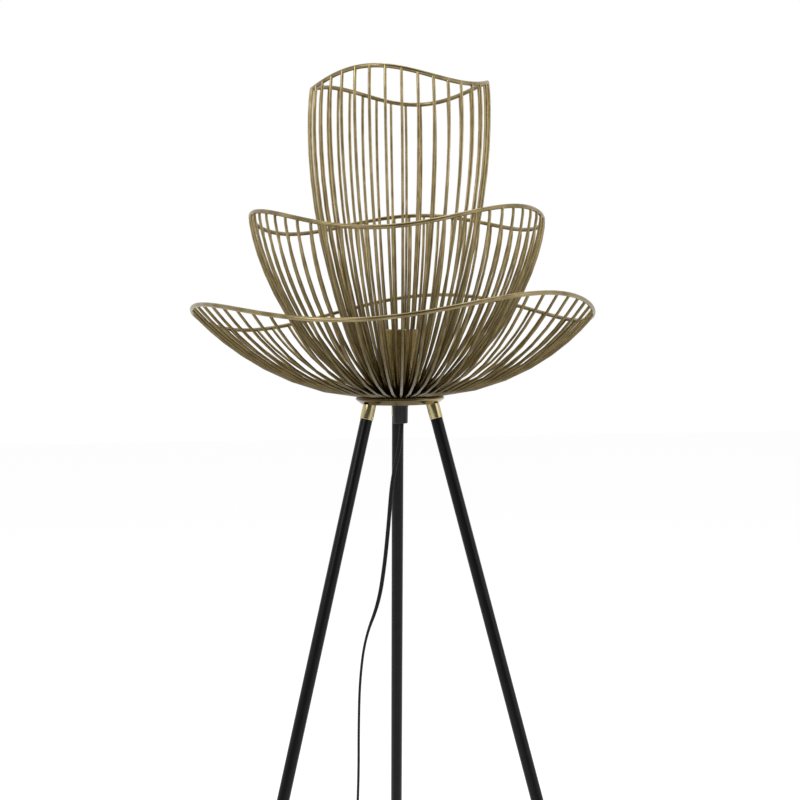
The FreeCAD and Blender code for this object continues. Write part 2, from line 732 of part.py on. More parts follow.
def grommet_bores(name):
    """Both holes for the strain reliefs, on the joint between the two shells."""
    bores = []
    for side, y in (("front", "-sizes.switch_length / 2"), ("back", "sizes.switch_length / 2")):
        bore = primitive(
            "Part::Cylinder",
            f"{name}_{side}_bore",
            Radius="sizes.grommet_radius + sizes.fit_clearance",
            Height="2 * sizes.grommet_hold",
        )
        away = "sizes.grommet_hold"
        bores.append(at_switch(bore, y=f"{y} + {away}", z="sizes.switch_base_height", roll="90"))
    return bores


def screw_spots():
    """Where the two screws of the foot switch stand, as (name, x, y)."""
    yield "front", "sizes.switch_screw_x", "-sizes.switch_screw_y"
    yield "back", "-sizes.switch_screw_x", "sizes.switch_screw_y"


def make_switch_shells():
    """Lower and upper shell of the foot switch, parted at the lead's height."""
    outer_radius = "sizes.switch_width / 2"
    base = padded(
        "switch_base_blank",
        lambda body: stadium(body, SWITCH_HALF_GAP, outer_radius),
        "sizes.switch_base_height",
    )
    holes = grommet_bores("switch_base")
    for name, x, y in screw_spots():
        hole = primitive(
            "Part::Cylinder",
            f"switch_base_{name}_screw_hole",
            Radius="sizes.switch_screw_radius + sizes.fit_clearance",
            Height="sizes.switch_base_height",
        )
        holes.append(at_switch(hole, x=x, y=y))
    add_sub_part(cut("switch_base", at_switch(base), *holes), "switch_base")

    cover = padded(
        "switch_cover_blank",
        lambda body: stadium(body, SWITCH_HALF_GAP, outer_radius),
        "sizes.switch_cover_height",
    )
    chamfer_top(cover, "sizes.switch_edge")
    room = padded(
        "switch_cover_room",
        lambda body: stadium(body, SWITCH_HALF_GAP, f"{outer_radius} - sizes.switch_wall"),
        "sizes.switch_cover_height - sizes.switch_top",
    )
    window = primitive(
        "Part::Cylinder",
        "switch_cover_window",
        Radius="sizes.button_radius + sizes.running_gap",
        Height="2 * sizes.switch_cover_height",
    )
    tools = [at_switch(room, z="sizes.switch_base_height")]
    tools.append(at_switch(window, z="sizes.switch_base_height"))
    cover = at_switch(cover, z="sizes.switch_base_height")
    hollow = cut("switch_cover", cover, *tools, *grommet_bores("switch_cover"))
    add_sub_part(hollow, "switch_cover")


def make_switch_inside():
    """Button, switch block and screws of the foot switch."""
    flange = "sizes.button_radius + sizes.button_flange"
    flange_height = "sizes.button_flange_height"
    top = f"{flange_height} + sizes.running_gap + sizes.switch_top + sizes.button_rise"
    outline = [
        ("0", "0"),
        (flange, "0"),
        (flange, flange_height),
        ("sizes.button_radius", flange_height),
        ("sizes.button_radius", top),
        ("0", top),
    ]
    button = at_switch(turned("switch_button", outline), z=f"{FLANGE_TOP} - {flange_height}")
    add_sub_part(button, "switch_button")
    block_top = f"{FLANGE_TOP} - {flange_height} - sizes.button_travel - sizes.running_gap"
    block = primitive(
        "Part::Box",
        "switch_block",
        Length="sizes.block_width",
        Width="sizes.block_length",
        Height=f"{block_top} - sizes.switch_base_height",
    )
    block = at_switch(
        block,
        x="-sizes.block_width / 2",
        y="-sizes.block_length / 2",
        z="sizes.switch_base_height",
    )
    add_sub_part(block, "switch_block")
    screws = []
    for name, x, y in screw_spots():
        screw = primitive(
            "Part::Cylinder",
            f"switch_screw_{name}",
            Radius="sizes.switch_screw_radius",
            Height="sizes.switch_base_height + sizes.switch_screw_rise",
        )
        screws.append(at_switch(screw, x=x, y=y))
    add_sub_part(group("switch_screws", screws), "switch_screws")


def relief(stops):
    """A moulded strain relief along Y: an eight-sided bar through (middle, radius) stops."""
    rings = [ring_of_corners(8, middle, Vector(1, 0, 0), UP, radius) for middle, radius in stops]
    return Part.makeLoft(rings, True, True)


def make_grommets():
    """A tapered strain relief at each end of the foot switch, held between its two shells."""
    middle = Vector(size("switch_x"), size("switch_y"), size("switch_base_height"))
    reliefs = []
    for way in (Vector(0, -1, 0), Vector(0, 1, 0)):
        face = middle + way * (size("switch_length") / 2)
        stops = [
            (face - way * size("grommet_hold"), size("grommet_radius")),
            (face, size("grommet_radius")),
            (face + way * size("grommet_length"), size("grommet_tip_radius")),
        ]
        reliefs.append(relief(stops))
    add_shape("switch_grommets", Part.makeCompound(reliefs))


# -------------------------------------------------------------------------------- lead and plug


def rounded_route(points):
    """Straight runs through the points, joined by the largest tangent arcs the runs allow."""
    edges, radii = [], []
    last = points[0]
    for before, corner, after in zip(points, points[1:], points[2:]):
        arriving, leaving = unit(corner - before), unit(after - corner)
        half_turn = arriving.getAngle(leaving) / 2
        trim = 0.45 * min((corner - before).Length, (after - corner).Length)
        radius = trim / math.tan(half_turn)
        radii.append(radius)
        start, end = corner - arriving * trim, corner + leaving * trim
        inward = unit(leaving - arriving)
        bulge = radius / math.cos(half_turn) - radius
        edges.append(Part.LineSegment(last, start).toShape())
        edges.append(Part.Arc(start, corner + inward * bulge, end).toShape())
        last = end
    edges.append(Part.LineSegment(last, points[-1]).toShape())
    return edges, radii


def quarter_arcs(start, start_way, end, end_way):
    """A half turn from start to end as two arcs that leave and arrive the given ways."""
    pull = (end - start).Length / 2
    corner, corner_2 = start + start_way * pull, end - end_way * pull
    middle = (corner + corner_2) * 0.5
    edges = []
    for a, b, c in ((start, corner, middle), (middle, corner_2, end)):
        centre = a + c - b
        edges.append(Part.Arc(a, centre + unit(b - centre) * (a - centre).Length, c).toShape())
    return edges


def tube(label, edges):
    """The lead along a path: a flat section as wide and thick as the two cores side by side."""
    path = Part.Wire(edges)
    way = edges[0].tangentAt(edges[0].FirstParameter)
    across = unit(way.cross(UP)) if abs(way.z) < 0.9 else unit(way.cross(Vector(0, 1, 0)))
    start = edges[0].valueAt(edges[0].FirstParameter)
    half_width = across * size("cord_radius")
    half_thickness = way.cross(across) * (size("cord_thickness") / 2)
    corners = [
        start + half_width + half_thickness,
        start - half_width + half_thickness,
        start - half_width - half_thickness,
        start + half_width - half_thickness,
    ]
    section = Part.makePolygon(corners + corners[:1])
    shape = path.makePipeShell([section], True, False)
    ideal = Part.Face(section).Area * path.Length
    print(f"{label}: length {path.Length:.1f} mm, volume {shape.Volume / ideal:.4f} of section x length")
    add_shape(label, shape)
    return path.Length


def route(label, points):
    """A free stretch of the lead through the points."""
    edges, radii = rounded_route(points)
    print(f"{label}: radii {min(radii):.0f} to {max(radii):.0f} mm,", [round(r) for r in radii])
    return tube(label, edges)


def coil_path():
    """Two layers of turns, clockwise from above: in on the floor, up half way round, and out on top."""
    floor = size("cord_radius")
    upper = floor + size("coil_layer")
    half_step = size("coil_step") / 2
    reaches = [size("coil_radius") - half_step * i for i in range(int(size("coil_half_turns")) + 1)]
    stops = [(reach, floor) for reach in reaches] + [(reach, upper) for reach in reversed(reaches)]
    middle = Vector(size("coil_x"), size("coil_y"), 0)
    straight = 2 * size("cord_radius")
    points = []
    for i, (reach, height) in enumerate(stops):
        points.append(middle + Vector(-reach if i % 2 == 0 else reach, 0, height))
    back, front = Vector(0, 1, 0), Vector(0, -1, 0)
    edges = [Part.LineSegment(points[0] - back * straight, points[0]).toShape()]
    for i, (start, end) in enumerate(zip(points, points[1:])):
        way = back if i % 2 == 0 else front
        edges += quarter_arcs(start, way, end, way * -1)
    edges.append(Part.LineSegment(points[-1], points[-1] + front * straight).toShape())
    return edges


def least_gap(edges):
    """The least room between parts of the coil that aren't neighbours along the lead."""
    points = []
    for edge in edges:
        points += edge.discretize(Number=25)[:-1]
    diameter = 2 * size("cord_radius")
    apart = [0.0]
    for before, after in zip(points, points[1:]):
        apart.append(apart[-1] + (after - before).Length)
    least = min(
        (points[i] - points[j]).Length
        for i in range(len(points))
        for j in range(i)
        if apart[i] - apart[j] > 6 * diameter
    )
    return least - diameter


def make_lead():
    """The lead: down from the grip to the switch, on to the coil, and from the coil to the plug."""
    radius = size("cord_radius")
    grip_exit = Vector(size("cord_offset"), 0, size("leg_height") - size("gland_length"))
    reach = size("switch_length") / 2 + size("grommet_length")
    lead_height = size("switch_base_height")
    switch_in = Vector(size("switch_x"), size("switch_y") - reach, lead_height)
    switch_out = Vector(size("switch_x"), size("switch_y") + reach, lead_height)
    coil = coil_path()
    coil_in = coil[0].valueAt(coil[0].FirstParameter)
    coil_out = coil[-1].valueAt(coil[-1].LastParameter)
    plug_in = Vector(coil_out.x, size("plug_y"), size("plug_thickness") / 2)
    back = Vector(0, 1, 0)
    square = 3 * radius
    drop = [grip_exit] + [Vector(*point) for point in DROP_POINTS]
    total = route("cord_drop", drop + [switch_in - back * square, switch_in])
    tail = [switch_out, switch_out + back * square, coil_in - back * square * 2, coil_in]
    total += route("cord_tail", tail)
    total += tube("cord_coil", coil)
    end = [coil_out, coil_out - back * square, plug_in + back * square, plug_in]
    total += route("cord_end", end)
    print(f"coil: least gap to itself {least_gap(coil):.2f} mm")
    print(f"lead: {total:.0f} mm outside the switch and plug")


def plug_outline(body):
    """The flat plug from above: full width at the pins, drawn in to its tail."""
    half, neck = "sizes.plug_half_width", "sizes.plug_neck_half_width"
    straight, full = "sizes.plug_straight", "sizes.plug_length"
    corners = [
        (half, "0"),
        (half, f"-1 * {straight}"),
        (neck, f"-1 * {full}"),
        (f"-1 * {neck}", f"-1 * {full}"),
        (f"-1 * {half}", f"-1 * {straight}"),
        (f"-1 * {half}", "0"),
    ]
    return closed_outline(body, "XY_Plane", corners)


def make_plug():
    """Flat two-pin plug lying on the floor at the lead's end, pins to the front."""
    x = "sizes.coil_x + sizes.coil_radius"
    height = "sizes.plug_thickness / 2"
    lead_end = Vector(size("coil_x") + size("coil_radius"), size("plug_y"), size("plug_thickness") / 2)
    body_end = lead_end - Vector(0, size("plug_tail_length"), 0)
    tail = relief([(lead_end, size("grommet_tip_radius")), (body_end, size("plug_tail_radius"))])
    add_shape("plug_tail", tail)
    body = padded("plug_body", plug_outline, "sizes.plug_thickness")
    chamfer_top(body, "sizes.plug_edge")
    pins_face = "sizes.plug_y - sizes.plug_tail_length - sizes.plug_length"
    place(body, x=x, y=pins_face, yaw="180")
    add_sub_part(body, "plug_body")
    pins = []
    for side, sign in (("left", "-"), ("right", "+")):
        pin = primitive(
            "Part::Cylinder", "plug_pin_" + side, Radius="sizes.pin_radius", Height="sizes.pin_length"
        )
        across = f"{x} {sign} sizes.pin_spacing / 2"
        pins.append(place(pin, x=across, y=pins_face, z=height, roll="90"))
    add_sub_part(group("plug_pins", pins), "plug_pins")


# ------------------------------------------------------------------------------------ all of it

PAN = make_pan()
make_nipple()
make_cup()
make_holder_housing()
make_holder_inside()
for level, cage in enumerate(CAGES):
    make_cage(cage, level)
make_tripod(PAN)
make_gland()
make_switch_shells()
make_switch_inside()
make_grommets()
make_lead()
make_plug()
DOC.recompute()

for thing in DOC.Objects:
    if "Invalid" in thing.State or "Error" in thing.State:
        raise RuntimeError(f"{thing.Label} is {thing.State}")
for thing in SUB_PARTS:
    if thing.Shape.isNull() or not thing.Shape.isValid():
        raise RuntimeError(f"{thing.Label} has no valid shape")

os.makedirs("parts", exist_ok=True)
for thing in SUB_PARTS:
    thing.Shape.exportStep(f"parts/{thing.Label}.step")
print(f"{len(SUB_PARTS)} sub-parts written")
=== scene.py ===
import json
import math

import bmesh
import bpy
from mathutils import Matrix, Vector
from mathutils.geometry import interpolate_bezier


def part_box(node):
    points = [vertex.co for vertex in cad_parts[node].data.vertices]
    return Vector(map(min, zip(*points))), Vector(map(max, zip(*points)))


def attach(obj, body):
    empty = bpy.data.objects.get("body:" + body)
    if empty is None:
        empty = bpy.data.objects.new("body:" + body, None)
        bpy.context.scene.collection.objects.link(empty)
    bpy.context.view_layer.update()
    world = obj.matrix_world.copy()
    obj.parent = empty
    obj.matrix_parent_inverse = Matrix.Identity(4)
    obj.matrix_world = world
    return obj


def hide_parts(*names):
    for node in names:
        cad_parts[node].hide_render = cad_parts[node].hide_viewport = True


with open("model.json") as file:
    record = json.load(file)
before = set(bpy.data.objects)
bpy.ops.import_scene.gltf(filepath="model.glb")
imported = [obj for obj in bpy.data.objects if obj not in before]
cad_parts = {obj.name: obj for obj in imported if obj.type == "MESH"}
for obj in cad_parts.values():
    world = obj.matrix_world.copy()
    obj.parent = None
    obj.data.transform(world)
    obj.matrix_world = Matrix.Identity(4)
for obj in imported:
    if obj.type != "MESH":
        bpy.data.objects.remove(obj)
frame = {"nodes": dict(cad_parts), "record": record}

# %% [markdown]
# # A wire cage floor lamp
# Three nested cages of bent brass wire stand on a small brass pan, a black tube tripod carries the pan,
# and a flat lead hangs down to a foot switch. The measured model is already loaded as a frame: every
# piece below is made on top of it, in metres, and takes its place from the frame wherever it can.
#
# Small sizes are written in millimetres, and MM turns them into metres. Points that are closer than
# TOUCHING count as one point, and a difference below NOTHING as none.

MM = 0.001
UP = Vector((0, 0, 1))
QUARTER = math.pi / 2
FULL_TURN = 2 * math.pi
TOUCHING = 1e-6
NOTHING = 1e-7
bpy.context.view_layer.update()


def low(node):
    """The lowest corner of a node of the frame."""
    return Vector(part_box(node)[0])


def high(node):
    """The highest corner of a node of the frame."""
    return Vector(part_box(node)[1])


def mm_radius(node):
    """Half a round node's width, in millimetres."""
    return (high(node).x - low(node).x) / 2 / MM


def mm_height(node):
    """A node's height, in millimetres."""
    return (high(node).z - low(node).z) / MM


nipple_middle = (low("threaded_nipple") + high("threaded_nipple")) / 2
LAMP = Vector((nipple_middle.x, nipple_middle.y, 0))
PAN_BOTTOM = low("base_pan").z
print("lamp axis", tuple(round(v, 4) for v in LAMP), "pan at", round(PAN_BOTTOM, 4))

# %% [markdown]
# ## The camera
# A product photograph is taken from a few metres away with a longish lens, so that verticals stay
# upright and circles stay nearly round. The camera is placed first, because everything else is judged
# through it. It stands a little to the left of the lamp's front, a hand above the pan, and tips down by
# three degrees. A photographer's tripod is seldom quite level, and here too the picture leans a little.

# %% Camera
CAMERA_DISTANCE = 2.1945
CAMERA_HEIGHT = 1.151
CAMERA_AZIMUTH = math.radians(3.5)
CAMERA_TIP = math.radians(3.3)
CAMERA_ROLL = math.radians(-0.76)
LENS = 74.25
SENSOR = 36

camera_data = bpy.data.cameras.new("camera")
camera_data.lens = LENS
camera_data.sensor_width = SENSOR
camera = bpy.data.objects.new("camera", camera_data)
bpy.context.scene.collection.objects.link(camera)
stand = LAMP - Vector((math.sin(CAMERA_AZIMUTH), math.cos(CAMERA_AZIMUTH), 0)) * CAMERA_DISTANCE
camera.matrix_world = (
    Matrix.Translation(stand + UP * CAMERA_HEIGHT)
    @ Matrix.Rotation(-CAMERA_AZIMUTH, 4, "Z")
    @ Matrix.Rotation(QUARTER - CAMERA_TIP, 4, "X")
    @ Matrix.Rotation(CAMERA_ROLL, 4, "Z")
)
bpy.context.scene.camera = camera
bpy.context.scene.view_settings.view_transform = "Standard"
print("camera", tuple(round(v, 3) for v in camera.location))

# %% [markdown]
# ## Materials
# Every finish here is a Principled shader with a little life in it: a noise texture on Object
# coordinates mixes two colours and moves the roughness, and a finer one can raise a grain. Object
# coordinates stay fixed to the piece, so the pattern doesn't slide when the camera moves, and it needs
# no unwrapping. One helper builds that common part, and each finish states its own colours and numbers.


# %% The common part of every finish
PATCH_EDGES = (0.35, 0.65)
COAT_ROUGHNESS = 0.15
BUMP_DEPTH = 0.2 * MM


def finish(
    name,
    colour,
    second,
    roughness,
    spread=0.06,
    scale=60,
    metallic=0.0,
    gloss=0.5,
    bump=0.0,
    grain=400,
    coat=0.0,
):
    """A Principled material whose colour and roughness wander a little over the piece."""
    material = bpy.data.materials.new(name)
    material.use_nodes = True
    nodes, links = material.node_tree.nodes, material.node_tree.links
    shader = nodes["Principled BSDF"]
    shader.inputs["Metallic"].default_value = metallic
    shader.inputs["Specular IOR Level"].default_value = gloss
    shader.inputs["Coat Weight"].default_value = coat
    shader.inputs["Coat Roughness"].default_value = COAT_ROUGHNESS
    place = nodes.new("ShaderNodeTexCoord").outputs["Object"]

    patches = nodes.new("ShaderNodeTexNoise")
    patches.inputs["Scale"].default_value = scale
    patches.inputs["Detail"].default_value = 4
    links.new(place, patches.inputs["Vector"])
    blend = nodes.new("ShaderNodeValToRGB")
    for stop, position, shade in zip(blend.color_ramp.elements, PATCH_EDGES, (second, colour)):
        stop.position = position
        stop.color = (*shade, 1)
    links.new(patches.outputs["Fac"], blend.inputs["Fac"])
    links.new(blend.outputs["Color"], shader.inputs["Base Color"])

    wear = nodes.new("ShaderNodeMapRange")
    wear.inputs["To Min"].default_value = roughness + spread
    wear.inputs["To Max"].default_value = roughness - spread
    links.new(patches.outputs["Fac"], wear.inputs["Value"])
    links.new(wear.outputs["Result"], shader.inputs["Roughness"])

    if bump:
        fine = nodes.new("ShaderNodeTexNoise")
        fine.inputs["Scale"].default_value = grain
        links.new(place, fine.inputs["Vector"])
        relief = nodes.new("ShaderNodeBump")
        relief.inputs["Strength"].default_value = bump
        relief.inputs["Distance"].default_value = BUMP_DEPTH
        links.new(fine.outputs["Fac"], relief.inputs["Height"])
        links.new(relief.outputs["Normal"], shader.inputs["Normal"])
    return material


# %% [markdown]
# Brass shows three ages on one lamp. The wires are bare and have aged to brown, the pan and ferrules
# are lacquered and still bright, and the contacts inside the lampholder are new. A metal has no colour
# of its own beside what it mirrors, so its base colour is the tint of its reflections. Two finishes
# also change along the lamp: the wires are painted darker towards the pan, as painted shade, and the
# pan is made darker on its left.


# %% Brass finishes
def darkened_along(material, axis, dark, full_colour_at, tint):
    """Multiplies the colour by tint where the axis reads dark or less, easing to the plain colour at
    full_colour_at.
    """
    nodes, links = material.node_tree.nodes, material.node_tree.links
    shader = nodes["Principled BSDF"]
    colour = shader.inputs["Base Color"].links[0].from_socket
    split = nodes.new("ShaderNodeSeparateXYZ")
    links.new(nodes.new("ShaderNodeTexCoord").outputs["Object"], split.inputs["Vector"])
    share = nodes.new("ShaderNodeMapRange")
    share.inputs["From Min"].default_value = dark
    share.inputs["From Max"].default_value = full_colour_at
    links.new(split.outputs[axis], share.inputs["Value"])
    darkening = nodes.new("ShaderNodeValToRGB")
    darkening.color_ramp.interpolation = "EASE"
    darkening.color_ramp.elements[0].color = (*tint, 1)
    links.new(share.outputs["Result"], darkening.inputs["Fac"])
    tinted = nodes.new("ShaderNodeVectorMath")
    tinted.operation = "MULTIPLY"
    links.new(colour, tinted.inputs[0])
    links.new(darkening.outputs["Color"], tinted.inputs[1])
    links.new(tinted.outputs["Vector"], shader.inputs["Base Color"])


WIRE_BRASS = finish(
    "aged wire brass", (0.51, 0.41, 0.21), (0.31, 0.235, 0.11), 0.30, metallic=1, scale=45, coat=0.05
)
# Painted shade: the wires' colour is painted darker towards the pan, to about a quarter at 1.05 m and
# below.
darkened_along(WIRE_BRASS, "Z", dark=1.05, full_colour_at=1.38, tint=(0.27, 0.245, 0.17))
RIM_BRASS = finish(
    "darkened rim brass", (0.30, 0.24, 0.12), (0.17, 0.13, 0.06), 0.30, metallic=1, scale=45
)
PAN_BRASS = finish(
    "lacquered brass", (0.50, 0.43, 0.235), (0.46, 0.385, 0.20), 0.17, spread=0.03, metallic=1, scale=18
)
LEFT_DARKER_PAN_BRASS = finish(
    "browned pan brass",
    (0.44, 0.365, 0.19),
    (0.36, 0.29, 0.14),
    0.22,
    spread=0.03,
    metallic=1,
    scale=25,
)
# The pan's colour is made darker on its left, to about a quarter of it below x = 15 mm.
darkened_along(LEFT_DARKER_PAN_BRASS, "X", dark=0.015, full_colour_at=0.055, tint=(0.25, 0.235, 0.22))
CUP_BRASS = finish(
    "satin cup brass", (0.44, 0.335, 0.145), (0.32, 0.235, 0.095), 0.22, metallic=1, scale=30
)
CONTACT_BRASS = finish(
    "bright contact brass", (0.72, 0.58, 0.30), (0.66, 0.52, 0.25), 0.22, metallic=1
)
ZINC = finish(
    "zinc plated steel", (0.62, 0.62, 0.63), (0.54, 0.54, 0.56), 0.34, metallic=1, scale=80
)

# %% [markdown]
# The legs are steel tube under satin black powder coat: dark, but with a fine orange peel that spreads
# each highlight. Rubber, moulded plastic and the lead's cover are all black too, and only their
# roughness and grain tell them apart.


# %% Blacks and the lampholder's insulators
def grey(level):
    """A colour without a tint."""
    return (level, level, level)


LEG_BLACK = finish(
    "satin black powder coat", grey(0.006), grey(0.004), 0.32, spread=0.03, gloss=0.16, bump=0.1
)
RUBBER = finish("foot rubber", grey(0.010), grey(0.015), 0.72, gloss=0.3, bump=0.3, grain=900)
BLACK_PLASTIC = finish(
    "moulded black plastic", grey(0.009), grey(0.012), 0.46, gloss=0.3, bump=0.2, grain=1500
)
LEAD_BLACK = finish("lead cover", grey(0.008), grey(0.011), 0.50, spread=0.04, gloss=0.2)
PHENOLIC = finish("phenolic lampholder", (0.020, 0.016, 0.014), (0.014, 0.011, 0.010), 0.38)
CERAMIC = finish("glazed ceramic", (0.80, 0.78, 0.72), (0.74, 0.72, 0.66), 0.16, spread=0.03)

# %% [markdown]
# Each node of the frame gets its finish too. Those that a finer piece replaces aren't shown, but they
# keep a true colour for whoever looks at the frame alone.

# %% Finishes on the frame's own nodes
FINISHES = {
    "pan_brass": PAN_BRASS,
    "wire_brass": WIRE_BRASS,
    "cup_brass": CUP_BRASS,
    "plated_steel": ZINC,
    "black_legs": LEG_BLACK,
    "foot_rubber": RUBBER,
    "black_plastic": BLACK_PLASTIC,
    "holder_plastic": PHENOLIC,
    "ceramic": CERAMIC,
    "contact_brass": CONTACT_BRASS,
    "lead_cover": LEAD_BLACK,
}
SLOT_OF = {entry["node"]: entry["material_slot"] for entry in frame["record"]["subparts"]}
for name, node in frame["nodes"].items():
    node.data.materials.clear()
    node.data.materials.append(FINISHES[SLOT_OF[name]])
print(len(frame["nodes"]), "nodes finished")

# %% [markdown]
# ## From a bmesh to a piece
# Most pieces end the same way: double points are merged, the faces are turned outwards, everything is
# shaded smooth but for true edges, the frame's nodes that the piece stands for are hidden, and the
# piece is attached to the body that it moves with.


# %% Turning a bmesh into a finished piece
def piece(bm, name, *nodes, body="lamp", sharp=32, look=None):
    """The bmesh becomes an object that replaces these nodes; look is a finish of its own."""
    bmesh.ops.remove_doubles(bm, verts=bm.verts, dist=TOUCHING)
    bmesh.ops.recalc_face_normals(bm, faces=bm.faces)
    for face in bm.faces:
        face.smooth = True
    for edge in bm.edges:
        edge.smooth = len(edge.link_faces) == 2 and edge.calc_face_angle(0) < math.radians(sharp)
    mesh = bpy.data.meshes.new(name)
    bm.to_mesh(mesh)
    bm.free()
    slot = SLOT_OF[nodes[0]]
    mesh.materials.append(look or FINISHES[slot])
    made = bpy.data.objects.new(name, mesh)
    bpy.context.scene.collection.objects.link(made)
    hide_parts(*nodes)
    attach(made, body)
    print(name, len(mesh.polygons), "faces")
    return made


# %% [markdown]
# ## Sweeping a section along a line
# A bent wire is a circle carried along a line. Extruding the circle's edges and moving the new ones to
# the next station, again and again, is that carrying done by hand, and it lets each station be turned
# as well as moved, which a plain curve with a bevel can't do as freely.


# %% Sweep
def only(kind, items):
    """The points, or the edges, among the mixed geometry that a bmesh operator returns."""
    return [item for item in items if isinstance(item, kind)]


def edges_of(verts):
    """All edges that end on these points, each once and always in the same order."""
    return list(dict.fromkeys(edge for vert in verts for edge in vert.link_edges))


def stations_along(points, side, twist=None):
    """Matrices that place a flat section, its X towards side, square to the line at each point."""
    stations = []
    for i, point in enumerate(points):
        ahead = points[min(i + 1, len(points) - 1)] - points[max(i - 1, 0)]
        ahead.normalize()
        side = (side - ahead * side.dot(ahead)).normalized()
        turned_side = side.copy()
        if twist:
            turned_side.rotate(Matrix.Rotation(twist[i], 3, ahead))
        across = ahead.cross(turned_side)
        rows = Matrix((turned_side, across, ahead)).transposed().to_4x4()
        rows.translation = point
        stations.append(rows)
    return stations


def sweep(bm, ring, stations):
    """Carries a ring of edges, drawn flat round the origin, from the first station to the last."""
    corners = list(dict.fromkeys(corner for edge in ring for corner in edge.verts))
    bmesh.ops.transform(bm, matrix=stations[0], verts=corners)
    for here, there in zip(stations, stations[1:]):
        new = bmesh.ops.extrude_edge_only(bm, edges=ring)["geom"]
        corners = only(bmesh.types.BMVert, new)
        known = set(corners)
        ring = [edge for edge in only(bmesh.types.BMEdge, new) if known.issuperset(edge.verts)]
        bmesh.ops.transform(bm, matrix=there @ here.inverted(), verts=corners)
    return ring


def close_ends(bm, *rings):
    """Fills each ring of edges with one face."""
    for ring in rings:
        bmesh.ops.edgeloop_fill(bm, edges=ring)


# %% [markdown]
# ## The lead
# The lead is one flexible thing of fixed length, so it is settled before the hard pieces: about 1.6 m
# of flat two-core cable. It leaves the grip under the pan, hangs beside the rear leg in slow bends,
# turns on the floor into the foot switch, and what isn't needed lies in a small coil that ends in a
# plug. A NURBS curve of order 3 rounds a short list of given points into one smooth line.


# %% The lead's line
LINE_FINENESS = 10
LINE_STEP = 1.2 * MM


def smooth_line(name, points):
    """Points along a NURBS curve through the given ones, and the curve's length."""
    curve = bpy.data.curves.new(name, "CURVE")
    curve.dimensions = "3D"
    curve.resolution_u = LINE_FINENESS
    spline = curve.splines.new("NURBS")
    spline.points.add(len(points) - 1)
    for knot, point in zip(spline.points, points):
        knot.co = (*point, 1)
    spline.order_u = 3
    spline.use_endpoint_u = True
    carrier = bpy.data.objects.new(name, curve)
    bpy.context.scene.collection.objects.link(carrier)
    line = bpy.data.meshes.new_from_object(carrier)
    path = [vertex.co.copy() for vertex in line.vertices]
    bpy.data.objects.remove(carrier)
    bpy.data.meshes.remove(line)
    even = [path[0]]
    for point in path[1:]:
        if (point - even[-1]).length > LINE_STEP:
            even.append(point)
    if (path[-1] - even[-1]).length > TOUCHING:
        even.append(path[-1])
    return even, sum((b - a).length for a, b in zip(even, even[1:]))


LEAD_WIDTH = 5.4 * MM
LEAD_THICKNESS = 3.4 * MM
GRIP_EXIT = LAMP + Vector((2 * MM, 0, low("cord_gland").z))
HANGING = [
    (-1, 0, 962),
    (-12, 1, 918),
    (-17, 2, 862),
    (-23, 3, 806),
    (-32, 2, 752),
    (-51, 1, 706),
    (-59, 0, 650),
    (-61.5, 1, 586),
    (-62.5, 0, 520),
    (-66, -2, 452),
    (-70, -3, 382),
    (-75, -7, 312),
    (-78, -10, 242),
    (-80, -16, 176),
    (-80.5, -21, 116),
    (-79.5, -25, 76),
    (-80, -20, 40),
    (-80, -2, 14),
    (-80, 22, 3),
]
switch_low, switch_high = low("switch_base"), high("switch_base")
SWITCH = Vector(((switch_low.x + switch_high.x) / 2, (switch_low.y + switch_high.y) / 2, 0))
RELIEF_TIPS = (low("switch_grommets").y, high("switch_grommets").y)
LEAD_LEVEL = switch_high.z
BACK = Vector((0, 1, 0))
STRAIGHT_RUN = BACK * 1.5 * LEAD_WIDTH

switch_in = Vector((SWITCH.x, RELIEF_TIPS[0], LEAD_LEVEL))
drop_points = [GRIP_EXIT] + [LAMP + Vector(p) * MM for p in HANGING]
drop_points += [switch_in - STRAIGHT_RUN, switch_in]
drop_line, drop_length = smooth_line("drop", drop_points)
print("drop", round(drop_length, 4), "m in", len(drop_line), "points")

# %% [markdown]
# The coil is two layers of turns. They wind in on the floor, climb half way round, and wind out again
# on top, so that both ends come off the outside. A loop walks round the middle and writes a point every
# fifteen degrees, with the reach and the height as simple functions of how far round it is.

# %% The coil and the plug's end
COIL_MIDDLE = LAMP + Vector((-50, 250, 0)) * MM
COIL_REACH = 33 * MM
COIL_STEP = 6.8 * MM
COIL_LAYER = 6.8 * MM
COIL_HALF_TURNS = 2
STEPS_IN_HALF = 12


def coil_points():
    """Clockwise from above, from the lower layer's left side to the upper layer's right side."""
    floor = LEAD_WIDTH / 2
    reaches = [COIL_REACH - COIL_STEP / 2 * i for i in range(COIL_HALF_TURNS + 1)]
    reaches += reaches[::-1]
    points = []
    halves = len(reaches) - 1
    for step in range(halves * STEPS_IN_HALF + 1):
        half, part = divmod(step, STEPS_IN_HALF)
        part /= STEPS_IN_HALF
        following = reaches[min(half + 1, halves)]
        reach = reaches[half] + (following - reaches[half]) * part
        climb = min(max(half + part - COIL_HALF_TURNS, 0), 1)
        height = floor + COIL_LAYER * (3 * climb**2 - 2 * climb**3)
        angle = math.pi * (1 - half - part)
        points.append(COIL_MIDDLE + Vector((reach * math.cos(angle), reach * math.sin(angle), height)))
    return points


switch_out = Vector((SWITCH.x, RELIEF_TIPS[1], LEAD_LEVEL))
coil = coil_points()
coil_in, coil_out = (point - BACK * LEAD_WIDTH for point in (coil[0], coil[-1]))
plug_in = Vector((coil[-1].x, high("plug_tail").y, (low("plug_tail").z + high("plug_tail").z) / 2))
tail_points = [switch_out, switch_out + STRAIGHT_RUN, coil_in - STRAIGHT_RUN * 2, coil_in]
tail_points += coil
tail_points += [coil_out, coil_out - STRAIGHT_RUN, plug_in + STRAIGHT_RUN, plug_in]
tail_line, tail_length = smooth_line("tail", tail_points)
print("tail", round(tail_length, 4), "m in", len(tail_line), "points")

